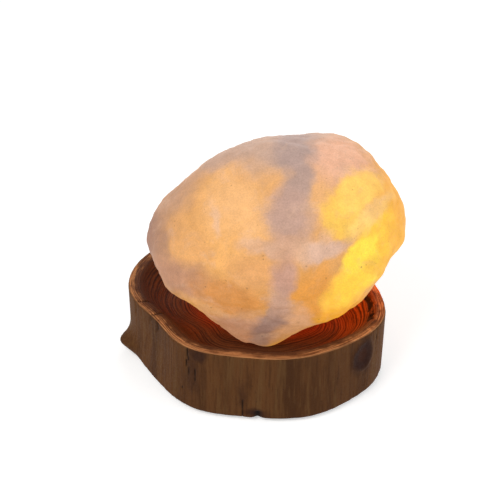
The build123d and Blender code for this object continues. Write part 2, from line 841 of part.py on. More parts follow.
def bulb_filament():
    """Coil strung level between the two lead wires."""
    reach = lead_wire_spread - lead_wire_radius
    length = 2 * reach - 4 * filament_coil_radius
    coil = Edge.make_helix(length / filament_turns, length, filament_coil_radius,
                           center=(-length / 2, 0, filament_height), normal=(1, 0, 0))
    start = Plane(origin=coil @ 0, z_dir=coil % 0)
    body = Solid(sweep(start * Circle(filament_radius), path=coil, is_frenet=True).solid().wrapped)
    for end, side in ((coil @ 0, -1), (coil @ 1, 1)):
        tail = Pos(end.X, end.Y, end.Z) * Sphere(1.5 * filament_radius)
        body += tail
        middle = (side * reach, 0, filament_height)
        run = Edge.make_line((end.X, end.Y, end.Z), middle)
        plane = Plane(origin=run @ 0, z_dir=run % 0)
        body += extrude(plane * Circle(filament_radius), run.length)
    return on_lamp_axis(body)


def filament_supports():
    """Two fine wires that stand on the stem and hold the coil up from below."""
    hook = filament_height - filament_coil_radius - filament_radius - support_radius
    supports = []
    for side in (-1, 1):
        x, y = side * support_reach, side * support_offset
        points = [
            (0, y, stem_top), (0, y, stem_top + support_start),
            (x, y, hook - 1), (x, 0, hook + support_hook),
        ]
        supports.append(on_lamp_axis(wire_path(points, support_radius, support_bend)))
    return supports


# ---- terminal block and leads -------------------------------------------------------------


def block_middle():
    return hollow_x, hollow_y + block_from_hollow


def block_screw_hole():
    x, y = block_middle()
    top = hollow_ceiling - block_height + block_screw_length + screw_clearance
    return rod(plate_screw_radius + screw_clearance, hollow_ceiling - past, top, x, y)


def sleeve_places():
    x, y = block_middle()
    return [(x + side * sleeve_spacing / 2, y) for side in (-1, 1)]


def terminal_block():
    x, y = block_middle()
    bottom = hollow_ceiling - block_height
    body = Pos(x, y, bottom) * Box(block_width, block_length, block_height, align=UP)
    body -= rod(plate_screw_radius + screw_pass, bottom - past, hollow_ceiling + past, x, y)
    for sx, sy in sleeve_places():
        body -= along_y(sleeve_radius + fit_gap, sy - block_length, sy + block_length, sx, sleeve_height)
        for side in (-1, 1):
            well_y = sy + side * sleeve_screw_spacing / 2
            body -= rod(sleeve_screw_head + sleeve_screw_pass, bottom - past, sleeve_height, sx, well_y)
    return body


def terminal_sleeves():
    sleeves = []
    half = block_length / 2 + sleeve_overhang
    for sx, sy in sleeve_places():
        body = along_y(sleeve_radius, sy - half, sy + half, sx, sleeve_height)
        body -= along_y(sleeve_bore, sy - half - past, sy + half + past, sx, sleeve_height)
        for side in (-1, 1):
            y = sy + side * sleeve_screw_spacing / 2
            body -= rod(sleeve_screw_radius + screw_clearance, 0, sleeve_height, sx, y)
        sleeves.append(body)
    return sleeves


def terminal_screws():
    """Clamping screws in the sleeves, two to each, with their heads in the block's wells."""
    screws = []
    top = sleeve_height - lead_radius
    under_head = sleeve_height - sleeve_radius - sleeve_screw_stand
    screw = slotted_screw(sleeve_screw_radius, top - under_head, sleeve_screw_head,
                          sleeve_screw_head_height, under_head)
    for sx, sy in sleeve_places():
        for side in (-1, 1):
            screws.append(Pos(sx, sy + side * sleeve_screw_spacing / 2, 0) * screw)
    return screws


def block_screw():
    x, y = block_middle()
    seat = hollow_ceiling - block_height
    screw = wood_screw(plate_screw_radius, block_screw_length, plate_screw_head_radius,
                       plate_screw_head_height, seat)
    return Pos(x, y, 0) * screw


def lead(side):
    """Insulated wire from a sleeve, under the nipple, up through it and out to a terminal."""
    sx, sy = sleeve_places()[0 if side < 0 else 1]
    start_y = sy - block_length / 2 + lead_entry
    inside_x = lamp_x + side * lead_spacing / 2
    end_x = lamp_x + side * terminal_offset
    end_y = lamp_y + terminal_head_radius + lead_radius + lead_gap
    top = insert_bottom - contact_thickness
    points = [
        (sx, start_y, sleeve_height),
        (sx, start_y - lead_run, sleeve_height - lead_sag),
        (inside_x, lamp_y, lead_low_point),
        (inside_x, lamp_y, hollow_ceiling + nipple_above + lead_above_nipple),
        (end_x, end_y, top - lead_post),
        (end_x, end_y, top),
    ]
    return wire_path(points, lead_radius, lead_bend)


def lead_live():
    return lead(-1)


def lead_neutral():
    return lead(1)


# ---- assembly -----------------------------------------------------------------------------

PIECES = {
    "wood_base": wood_base,
    "salt_crystal": salt_crystal,
    "bottom_cover": bottom_cover,
    "cover_screws": cover_screws,
    "rubber_feet": rubber_feet,
    "cable_grommet": cable_grommet,
    "mounting_plate": mounting_plate,
    "plate_screws": plate_screws,
    "holder_nipple": holder_nipple,
    "nipple_nut": nipple_nut,
    "nipple_washer": nipple_washer,
    "holder_dome": holder_dome,
    "holder_skirt": holder_skirt,
    "holder_insert": holder_insert,
    "holder_thread": holder_thread,
    "holder_centre_contact": holder_centre_contact,
    "holder_side_contact": holder_side_contact,
    "holder_terminal_screws": holder_terminal_screws,
    "bulb_cap": bulb_cap,
    "bulb_cap_insulator": bulb_cap_insulator,
    "bulb_centre_contact": bulb_centre_contact,
    "bulb_glass": bulb_glass,
    "bulb_stem": bulb_stem,
    "bulb_lead_wires": bulb_lead_wires,
    "bulb_filament": bulb_filament,
    "filament_supports": filament_supports,
    "terminal_block": terminal_block,
    "terminal_sleeves": terminal_sleeves,
    "terminal_screws": terminal_screws,
    "block_screw": block_screw,
    "lead_live": lead_live,
    "lead_neutral": lead_neutral,
}


def solids_of(made):
    """Every solid in a piece, or in a list of pieces."""
    items = made if isinstance(made, list) else [made]
    return [solid for item in items for solid in item.solids()]


def main():
    os.makedirs("parts", exist_ok=True)
    made = {name: solids_of(make()) for name, make in PIECES.items()}
    boxes = [solid.bounding_box() for solids in made.values() for solid in solids]
    low_x, high_x = min(b.min.X for b in boxes), max(b.max.X for b in boxes)
    low_y, high_y = min(b.min.Y for b in boxes), max(b.max.Y for b in boxes)
    shift = Pos(-(low_x + high_x) / 2, -(low_y + high_y) / 2, 0)
    print("origin at", round((low_x + high_x) / 2, 3), round((low_y + high_y) / 2, 3))
    for name, solids in made.items():
        moved = [shift * solid for solid in solids]
        export_step(Compound(children=moved) if len(moved) > 1 else moved[0], f"parts/{name}.step")


main()
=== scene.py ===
"""Salt crystal lamp: the looks of a rock-salt lump that glows in the dish of a slice of trunk.

Lengths are written in millimetres about the middle of the wood's plan, with the table at
z = 0 and the front towards -Y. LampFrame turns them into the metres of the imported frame.
"""

import logging
import math
from dataclasses import dataclass, field
from enum import Enum

import bpy
import numpy as np
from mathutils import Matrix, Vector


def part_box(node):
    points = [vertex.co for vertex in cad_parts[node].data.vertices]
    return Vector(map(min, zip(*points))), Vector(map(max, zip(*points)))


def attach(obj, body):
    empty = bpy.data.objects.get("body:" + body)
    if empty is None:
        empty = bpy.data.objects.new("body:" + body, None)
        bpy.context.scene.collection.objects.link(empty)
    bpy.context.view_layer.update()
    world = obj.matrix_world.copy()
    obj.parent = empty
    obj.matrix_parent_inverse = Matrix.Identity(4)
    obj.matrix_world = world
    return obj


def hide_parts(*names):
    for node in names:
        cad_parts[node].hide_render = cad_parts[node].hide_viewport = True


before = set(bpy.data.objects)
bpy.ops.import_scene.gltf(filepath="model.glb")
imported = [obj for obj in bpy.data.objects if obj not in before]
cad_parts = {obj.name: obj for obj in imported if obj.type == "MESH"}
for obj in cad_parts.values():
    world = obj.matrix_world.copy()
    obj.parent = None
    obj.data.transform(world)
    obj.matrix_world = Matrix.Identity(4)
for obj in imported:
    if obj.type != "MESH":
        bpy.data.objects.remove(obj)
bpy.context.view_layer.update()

log = logging.getLogger("salt_lamp")
MM = 0.001
WHITE = (1.0, 1.0, 1.0)
Array = np.ndarray
Colour = tuple[float, float, float]
Triple = tuple[float, float, float]


# ---- where things are ---------------------------------------------------------------------


@dataclass(frozen=True)
class LampFrame:
    """The places that every sub-assembly shares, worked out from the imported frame.

    Attributes:
        lamp_axis: the bulb's axis, mm about the wood's middle.
        middle: the wood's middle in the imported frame, mm, worked out from the nipple's box.
        wood_bottom, wood_top: heights of the wood's faces, mm.
        dish_floor: height on which the crystal stands, mm.
        ceiling: height of the hollow's ceiling under the base, mm.
    """

    middle: tuple[float, float]
    wood_bottom: float
    wood_top: float
    dish_floor: float
    ceiling: float
    lamp_axis: tuple[float, float] = (20.0, 7.0)

    @staticmethod
    def corners(node: str) -> Array:
        """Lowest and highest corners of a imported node, mm."""
        return np.array(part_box(node)) / MM

    @classmethod
    def read(cls) -> "LampFrame":
        """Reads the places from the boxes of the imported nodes.

        Returns:
            The places, in mm.
        """
        low, high = cls.corners("holder_nipple")
        wood = cls.corners("wood_base")[:, 2]
        return cls(
            middle=tuple((low + high)[:2] / 2 - cls.lamp_axis),
            wood_bottom=float(wood[0]),
            wood_top=float(wood[1]),
            dish_floor=float(cls.corners("salt_crystal")[0, 2]),
            ceiling=float(cls.corners("mounting_plate")[1, 2]),
        )

    def place(self, points: Array) -> Array:
        """Millimetres about the wood's middle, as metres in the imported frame."""
        return (np.asarray(points) + [*self.middle, 0.0]) * MM


LAMP = LampFrame.read()


# ---- noise and other functions of whole arrays --------------------------------------------


def lattice_value(cells: Array, seed: int) -> Array:
    """A fixed number for each whole-number cell, mixed from its three indices.

    Args:
        cells: three whole numbers for each point.
        seed: number that picks the pattern.

    Returns:
        A number from 0 to 1 for each point.
    """
    c = cells.astype(np.int64)
    h = c[..., 0] * 73856093 ^ c[..., 1] * 19349663 ^ c[..., 2] * 83492791 ^ seed * 2654435
    h = (h & 0xFFFFFFFF) * 1274126177 & 0xFFFFFFFF
    h = ((h ^ (h >> 15)) * 2246822519) & 0xFFFFFFFF
    return (h ^ (h >> 13)) / 0xFFFFFFFF


def smooth_noise(points: Array, seed: int = 0) -> Array:
    """Value noise: corner values of the unit cell blended by s = t*t*(3 - 2t).

    Args:
        points: three coordinates for each point.
        seed: number that picks the pattern.

    Returns:
        A number from -1 to 1 for each point.
    """
    base = np.floor(points)
    t = points - base
    s = t * t * (3 - 2 * t)
    total = np.zeros(points.shape[:-1])
    for corner in np.ndindex(2, 2, 2):
        offset = np.array(corner)
        weight = np.prod(np.where(offset, s, 1 - s), axis=-1)
        total += weight * lattice_value(base + offset, seed)
    return 2 * total - 1


def fractal(points: Array, size: float, octaves: int = 4, seed: int = 0) -> Array:
    """Sum of noise layers, each half as wide and half as strong as the last.

    Args:
        points: three coordinates for each point.
        size: width of the largest features.
        octaves: how many layers are added up.
        seed: number that picks the pattern.

    Returns:
        About -1 to 1 for each point.
    """
    total = np.zeros(points.shape[:-1])
    for k in range(octaves):
        total += 0.5**k * smooth_noise(points * 2**k / size + 17.3 * k, seed + k)
    return total / 1.5


@dataclass(frozen=True)
class Rough:
    """Unevenness of a surface: fractal noise of its own height, size and seed.

    Attributes:
        height: what the noise, about -1 to 1, is multiplied by.
        size: width of its largest features, mm.
        octaves: how many layers are added up.
        seed: number that picks the pattern.
        squash: factor on each coordinate; under 1 draws the pattern out along that axis.
    """

    height: float
    size: float
    octaves: int
    seed: int
    squash: Triple = (1, 1, 1)

    def at(self, points: Array) -> Array:
        """Height of the noise at each point."""
        return self.height * fractal(points * self.squash, self.size, self.octaves, self.seed)


def smoothstep(low: float, high: float, value: Array) -> Array:
    """0 below low, 1 above high, and t*t*(3 - 2t) between them."""
    t = np.clip((np.asarray(value) - low) / (high - low), 0, 1)
    return t * t * (3 - 2 * t)


def bell(value: Array, width: float) -> Array:
    """Bell curve exp(-(value / width)**2)."""
    return np.exp(-((value / width) ** 2))


def turn_between(angle: Array, degrees: float) -> Array:
    """Signed turn from a direction in degrees to each angle in radians, in degrees."""
    return (np.degrees(angle) - degrees + 180) % 360 - 180


def polar(radius: Array | float, angle: Array, height: Array | float) -> Array:
    """Points at a radius and an angle about the Z axis, at a height, broadcast together."""
    parts = np.broadcast_arrays(radius * np.cos(angle), radius * np.sin(angle), height)
    return np.stack(parts, axis=-1)


def whole_turn(steps: int) -> Array:
    """Angles of evenly spaced steps round a circle."""
    return np.linspace(0, 2 * math.pi, steps, endpoint=False)


def facing(turn: float, lift: float) -> Array:
    """Unit vector that points turn degrees round from +X and lift degrees up."""
    a, e = math.radians(turn), math.radians(lift)
    return np.array([math.cos(e) * math.cos(a), math.cos(e) * math.sin(a), math.sin(e)])


# ---- meshes from arrays -------------------------------------------------------------------


def between(start: Array, end: Array, steps: int) -> Array:
    """Rings that go straight from one ring up to, but not including, another."""
    share = np.arange(steps)[:, None, None] / steps
    return start + share * (end - start)


def ring_quads(rings: int, around: int, closed: bool) -> Array:
    """Faces between neighbouring rings of points.

    Args:
        rings: how many rings there are.
        around: points in each ring.
        closed: True to join the last ring to the first.

    Returns:
        Four point numbers for each face.
    """
    i = np.arange(rings if closed else rings - 1)[:, None]
    j = np.arange(around)[None, :]
    after_i, after_j = (i + 1) % rings, (j + 1) % around
    corners = [i * around + j, i * around + after_j, after_i * around + after_j, after_i * around + j]
    return np.stack(np.broadcast_arrays(*corners), axis=-1).reshape(-1, 4)


def fan(pole: int, ring: Array) -> Array:
    """Triangles from a pole to a closed ring of point numbers."""
    return np.stack([np.full(len(ring), pole), ring, np.roll(ring, -1)], axis=-1)


def enclosed_volume(points: Array, triangles: Array) -> float:
    """Sum of a . (b x c) / 6 over the triangles, positive when they face outwards."""
    a, b, c = (points[triangles[:, k]] for k in range(3))
    return float(np.einsum("ij,ij->i", a, np.cross(b, c)).sum() / 6)


def make_mesh(name: str, points: Array, quads: Array, triangles: Array | None = None) -> bpy.types.Object:
    """Object with a closed mesh of quads and triangles, turned so that it faces outwards.

    Args:
        name: the piece's name.
        points: corners in millimetres about the wood's middle.
        quads: four point numbers for each face.
        triangles: three point numbers for each face at the poles.

    Returns:
        The linked object, smooth shaded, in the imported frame.
    """
    triangles = np.zeros((0, 3), int) if triangles is None else triangles
    split = np.concatenate([quads[:, [0, 1, 2]], quads[:, [0, 2, 3]], triangles])
    if enclosed_volume(points, split) < 0:
        quads, triangles = quads[:, ::-1], triangles[:, ::-1]
    sizes = np.concatenate([np.full(len(quads), 4), np.full(len(triangles), 3)]).astype(np.int32)
    corners = np.concatenate([quads.ravel(), triangles.ravel()]).astype(np.int32)
    mesh = bpy.data.meshes.new(name)
    mesh.vertices.add(len(points))
    mesh.vertices.foreach_set("co", LAMP.place(points).astype(np.float32).ravel())
    mesh.loops.add(len(corners))
    mesh.loops.foreach_set("vertex_index", corners)
    mesh.polygons.add(len(sizes))
    mesh.polygons.foreach_set("loop_start", (np.cumsum(sizes) - sizes).astype(np.int32))
    mesh.polygons.foreach_set("use_smooth", np.ones(len(sizes), bool))
    mesh.update(calc_edges=True)
    mesh.validate()
    piece = bpy.data.objects.new(name, mesh)
    bpy.context.scene.collection.objects.link(piece)
    return piece


@dataclass(frozen=True)
class Bore:
    """A stepped round hole, drilled up the Z axis or in along the Y axis.

    Attributes:
        place: a point on its axis, mm; the number along the axis isn't used.
        outline: (radius, distance along the axis) from its start to its end, mm.
        level: True where it runs along Y.
    """

    place: Triple
    outline: tuple[tuple[float, float], ...]
    level: bool = False

    def plug(self, around: int = 48) -> tuple[Array, Array, Array]:
        """The solid that fills the hole: its outline turned about its axis.

        Args:
            around: points in a circle.

        Returns:
            Its points, its quads and the triangles at its two poles.
        """
        radius, distance = np.array(self.outline).T[:, :, None]
        walls = polar(radius, whole_turn(around), distance).reshape(-1, 3)
        points = np.concatenate([walls, [[0, 0, distance[0, 0]], [0, 0, distance[-1, 0]]]])
        centre = np.array(self.place)
        if self.level:
            points = points[:, [1, 2, 0]]
        centre[1 if self.level else 2] = 0.0
        rows = len(self.outline)
        ring = np.arange(around)
        poles = [fan(rows * around, ring)[:, ::-1], fan(rows * around + 1, ring + (rows - 1) * around)]
        return points + centre, ring_quads(rows, around, closed=False), np.concatenate(poles)


def drill(piece: bpy.types.Object, bores: list[Bore], wall: dict[str, float], sharp: float = 60.0) -> None:
    """Takes the bores out of a piece, whose new walls get the given numbers.

    Args:
        piece: a closed piece.
        bores: holes that don't meet each other.
        wall: value of each of the piece's attributes on the new walls.
        sharp: turn between two faces from which their edge stays sharp, degrees.
    """
    shapes = [bore.plug() for bore in bores]
    starts = np.cumsum([0] + [len(points) for points, _, _ in shapes])
    points = np.concatenate([points for points, _, _ in shapes])
    quads = np.concatenate([quads + n for (_, quads, _), n in zip(shapes, starts)])
    poles = np.concatenate([poles + n for (_, _, poles), n in zip(shapes, starts)])
    cutter = make_mesh("drill", points, quads, poles)
    for name, value in wall.items():
        set_attribute(cutter, name, np.full(len(points), value))
    cut = piece.modifiers.new("holes", "BOOLEAN")
    cut.operation, cut.solver, cut.object = "DIFFERENCE", "MANIFOLD", cutter
    bpy.context.view_layer.update()
    ready = piece.evaluated_get(bpy.context.evaluated_depsgraph_get())
    mesh = bpy.data.meshes.new_from_object(ready)
    piece.modifiers.clear()
    piece.data = mesh
    mesh.materials.clear()
    bpy.data.objects.remove(cutter)
    mesh.set_sharp_from_angle(angle=math.radians(sharp))


def set_attribute(piece: bpy.types.Object, name: str, values: Array) -> None:
    """Stores one number for each point, for the piece's material to read."""
    attribute = piece.data.attributes.new(name, "FLOAT", "POINT")
    attribute.data.foreach_set("value", values.astype(np.float32).ravel())


# ---- shader nodes -------------------------------------------------------------------------

Socket = bpy.types.NodeSocket
Value = float | Colour | Socket


class Shader:
    """Adds nodes to one tree and links them, so that a material reads as a formula."""

    def __init__(self, tree: bpy.types.NodeTree) -> None:
        """Works on the given tree."""
        self.tree = tree

    def put(self, socket: Socket, value: Value) -> None:
        """Links a socket's value, or sets it as a constant.

        Args:
            socket: the input.
            value: an output to link, or a number, vector or colour.
        """
        if isinstance(value, bpy.types.NodeSocket):
            self.tree.links.new(value, socket)
        elif isinstance(value, tuple) and socket.type == "RGBA" and len(value) == 3:
            socket.default_value = (*value, 1.0)
        else:
            socket.default_value = value

    def fill(self, node: bpy.types.Node, inputs: dict[str | int, Value]) -> None:
        """Links or sets a node's inputs, given by name or number."""
        for name, value in inputs.items():
            self.put(node.inputs[name], value)

    def node(self, kind: str, inputs: dict | None = None, **settings: object) -> bpy.types.Node:
        """Adds a node with its settings and inputs.

        Args:
            kind: Blender's name for the node.
            inputs: their values by name or number.
            settings: the node's own properties.

        Returns:
            The node.
        """
        made = self.tree.nodes.new(kind)
        for name, value in settings.items():
            setattr(made, name, value)
        self.fill(made, inputs or {})
        return made

    def math(self, operation: str, a: Value, b: Value = 0.0, clamp: bool = False) -> Socket:
        """A Math node's result."""
        return self.node("ShaderNodeMath", {0: a, 1: b}, operation=operation, use_clamp=clamp).outputs[0]

    def times(self, a: Value, b: Value) -> Socket:
        """Product of two numbers."""
        return self.math("MULTIPLY", a, b)

    def vector(self, operation: str, a: Value, b: Value = (0.0, 0.0, 0.0)) -> Socket:
        """A Vector Math node's result: its vector, or its value for a length."""
        made = self.node("ShaderNodeVectorMath", {0: a, 1: b}, operation=operation)
        return made.outputs["Value" if operation == "LENGTH" else "Vector"]

    def scaled(self, vector: Value, factor: Value) -> Socket:
        """A vector or colour times a number."""
        return self.node("ShaderNodeVectorMath", {0: vector, "Scale": factor}, operation="SCALE").outputs[0]

    def noise(self, vector: Socket, size: float, detail: float = 3.0, rough: float = 0.5,
              output: str = "Fac") -> Socket:
        """Noise whose largest features are about size millimetres across."""
        inputs = {"Vector": vector, "Scale": 1.0 / size, "Detail": detail, "Roughness": rough}
        return self.node("ShaderNodeTexNoise", inputs).outputs[output]

    def wander(self, vector: Socket, size: float, detail: float) -> Socket:
        """Noise with three coordinates, each about -0.5 to 0.5."""
        return self.vector("SUBTRACT", self.noise(vector, size, detail, output="Color"), (0.5, 0.5, 0.5))

    def step(self, value: Value, low: Value, high: Value, start: float = 0.0, end: float = 1.0) -> Socket:
        """Smooth step from start, where the value is low, to end, where it is high."""
        inputs = {"Value": value, "From Min": low, "From Max": high, "To Min": start, "To Max": end}
        return self.node("ShaderNodeMapRange", inputs, interpolation_type="SMOOTHSTEP").outputs[0]

    def mix(self, mask: Value, a: Value, b: Value) -> Socket:
        """Mixes two colours.

        Args:
            mask: 0 for colour a, 1 for colour b.
            a, b: the colours.

        Returns:
            The mixed colour.
        """
        made = self.node("ShaderNodeMix", data_type="RGBA")
        self.fill(made, {0: mask, 6: a, 7: b})
        return made.outputs[2]

    def attribute(self, name: str) -> Socket:
        """A number stored on the piece's points."""
        return self.node("ShaderNodeAttribute", attribute_name=name).outputs["Fac"]

    def bump(self, height: Socket, depth: float, strength: float, before: Socket | None = None) -> Socket:
        """Normal raised by a height from 0 to 1 over a depth in millimetres, on top of another."""
        inputs = {"Height": height, "Distance": depth * MM, "Strength": strength}
        return self.node("ShaderNodeBump", inputs | ({"Normal": before} if before else {})).outputs[0]

    def group(self, tree: bpy.types.NodeTree, **inputs: Value) -> Socket:
        """Output of a shared node group with its own values."""
        return self.node("ShaderNodeGroup", inputs, node_tree=tree).outputs[0]

    def patch(self, place: Socket, centre: Triple, size: Triple, edge: float) -> Socket:
        """Mask of a soft ellipsoid."""
        return self.group(GROUPS.patch, Vector=place, Centre=centre, Size=size, Edge=edge)

    def specks(self, place: Socket, spacing: float, size: float, share: float) -> Socket:
        """Mask of scattered specks."""
        return self.group(GROUPS.specks, Vector=place, Spacing=spacing, Size=size, Share=share)

    def smudge(self, place: Socket, size: float, amount: float) -> Socket:
        """Slow change of tone about 1."""
        return self.group(GROUPS.smudge, Vector=place, Size=size, Amount=amount)


def new_group(name: str, inputs: dict[str, str], outputs: dict[str, str]) -> tuple[Shader, dict, dict]:
    """Empty node group with named sockets.

    Args:
        name: the group's name.
        inputs, outputs: socket kinds by name, such as "Float" or "Vector".

    Returns:
        A Shader on the group's tree, its input sockets and its output sockets by name.
    """
    tree = bpy.data.node_groups.new(name, "ShaderNodeTree")
    for direction, sockets in (("INPUT", inputs), ("OUTPUT", outputs)):
        for socket, kind in sockets.items():
            tree.interface.new_socket(socket, in_out=direction, socket_type=f"NodeSocket{kind}")
    shader = Shader(tree)
    start, end = shader.node("NodeGroupInput"), shader.node("NodeGroupOutput")
    return shader, {k: start.outputs[k] for k in inputs}, {k: end.inputs[k] for k in outputs}


def lamp_millimetres_group() -> bpy.types.NodeTree:
    """Object coordinates as millimetres about the wood's middle.

    Returns:
        A group that puts out the place.
    """
    s, _, out = new_group("lamp_millimetres", {}, {"Vector": "Vector"})
    place = s.node("ShaderNodeTexCoord").outputs["Object"]
    scaled = s.vector("MULTIPLY", place, (1000.0, 1000.0, 1000.0))
    s.put(out["Vector"], s.vector("SUBTRACT", scaled, (*LAMP.middle, 0.0)))
    return s.tree


def soft_patch_group() -> bpy.types.NodeTree:
    """An ellipsoid that fades over Edge as a share of its size.

    Returns:
        A group that puts out a mask: 1 inside, 0 outside.
    """
    sockets = {"Vector": "Vector", "Centre": "Vector", "Size": "Vector", "Edge": "Float"}
    s, given, out = new_group("soft_patch", sockets, {"Mask": "Float"})
    away = s.vector("SUBTRACT", given["Vector"], given["Centre"])
    reach = s.vector("LENGTH", s.vector("DIVIDE", away, given["Size"]))
    inner, outer = (s.math(operation, 1.0, given["Edge"]) for operation in ("SUBTRACT", "ADD"))
    s.put(out["Mask"], s.step(reach, inner, outer, 1.0, 0.0))
    return s.tree


def specks_group() -> bpy.types.NodeTree:
    """Scattered specks: cells Spacing mm apart, of which a Share holds a spot.

    Returns:
        A group that puts out a mask: 1 in the middle of a spot, 0 between spots.
    """
    sockets = {"Vector": "Vector", "Spacing": "Float", "Size": "Float", "Share": "Float"}
    s, given, out = new_group("specks", sockets, {"Mask": "Float"})
    scale = s.math("DIVIDE", 1.0, given["Spacing"])
    cells = s.node("ShaderNodeTexVoronoi", {"Vector": given["Vector"], "Scale": scale})
    chance = s.node("ShaderNodeSeparateColor", {0: cells.outputs["Color"]}).outputs[0]
    held = s.math("LESS_THAN", chance, given["Share"])
    radius = s.math("MAXIMUM", s.times(given["Size"], s.math("DIVIDE", chance, given["Share"])), 0.01)
    spot = s.math("SUBTRACT", 1.0, s.math("DIVIDE", cells.outputs["Distance"], radius), clamp=True)
    s.put(out["Mask"], s.times(held, spot))
    return s.tree


def smudge_group() -> bpy.types.NodeTree:
    """Slow change of tone over a surface, from soft noise.

    Returns:
        A group that puts out the tone, about 1.
    """
    sockets = {"Vector": "Vector", "Size": "Float", "Amount": "Float"}
    s, given, out = new_group("smudge", sockets, {"Tone": "Float"})
    scale = s.math("DIVIDE", 1.0, given["Size"])
    noise = s.node("ShaderNodeTexNoise", {"Vector": given["Vector"], "Scale": scale, "Detail": 4.0})
    centred = s.math("SUBTRACT", noise.outputs["Fac"], 0.5)
    s.put(out["Tone"], s.math("ADD", 1.0, s.times(centred, given["Amount"])))
    return s.tree


@dataclass(frozen=True)
class SharedGroups:
    """The node groups that more than one finish uses, built once."""

    millimetres: bpy.types.NodeTree = field(default_factory=lamp_millimetres_group)
    patch: bpy.types.NodeTree = field(default_factory=soft_patch_group)
    specks: bpy.types.NodeTree = field(default_factory=specks_group)
    smudge: bpy.types.NodeTree = field(default_factory=smudge_group)


GROUPS = SharedGroups()


def start_material(name: str) -> tuple[bpy.types.Material, Shader, bpy.types.Node, Socket]:
    """New material with an empty Principled surface.

    Args:
        name: the material's name.

    Returns:
        The material, a Shader on it, its Principled node and the place in millimetres.
    """
    material = bpy.data.materials.new(name)
    material.use_nodes = True
    material.node_tree.nodes.clear()
    s = Shader(material.node_tree)
    surface = s.node("ShaderNodeBsdfPrincipled")
    s.node("ShaderNodeOutputMaterial", {"Surface": surface.outputs[0]})
    return material, s, surface, s.group(GROUPS.millimetres)


# ---- finishes -----------------------------------------------------------------------------


@dataclass(frozen=True)
class GlowPatch:
    """A region of the crystal that passes the bulb's light in its own colour.

    Attributes:
        centre, size: middle and half sizes of an ellipsoid, mm.
        colour: light that leaves the surface there.
        strength: how far the patch covers what lies under it.
        edge: width of its fade, as a share of its size.
    """

    centre: Triple
    size: Triple
    colour: Colour
    strength: float = 1.0
    edge: float = 0.45


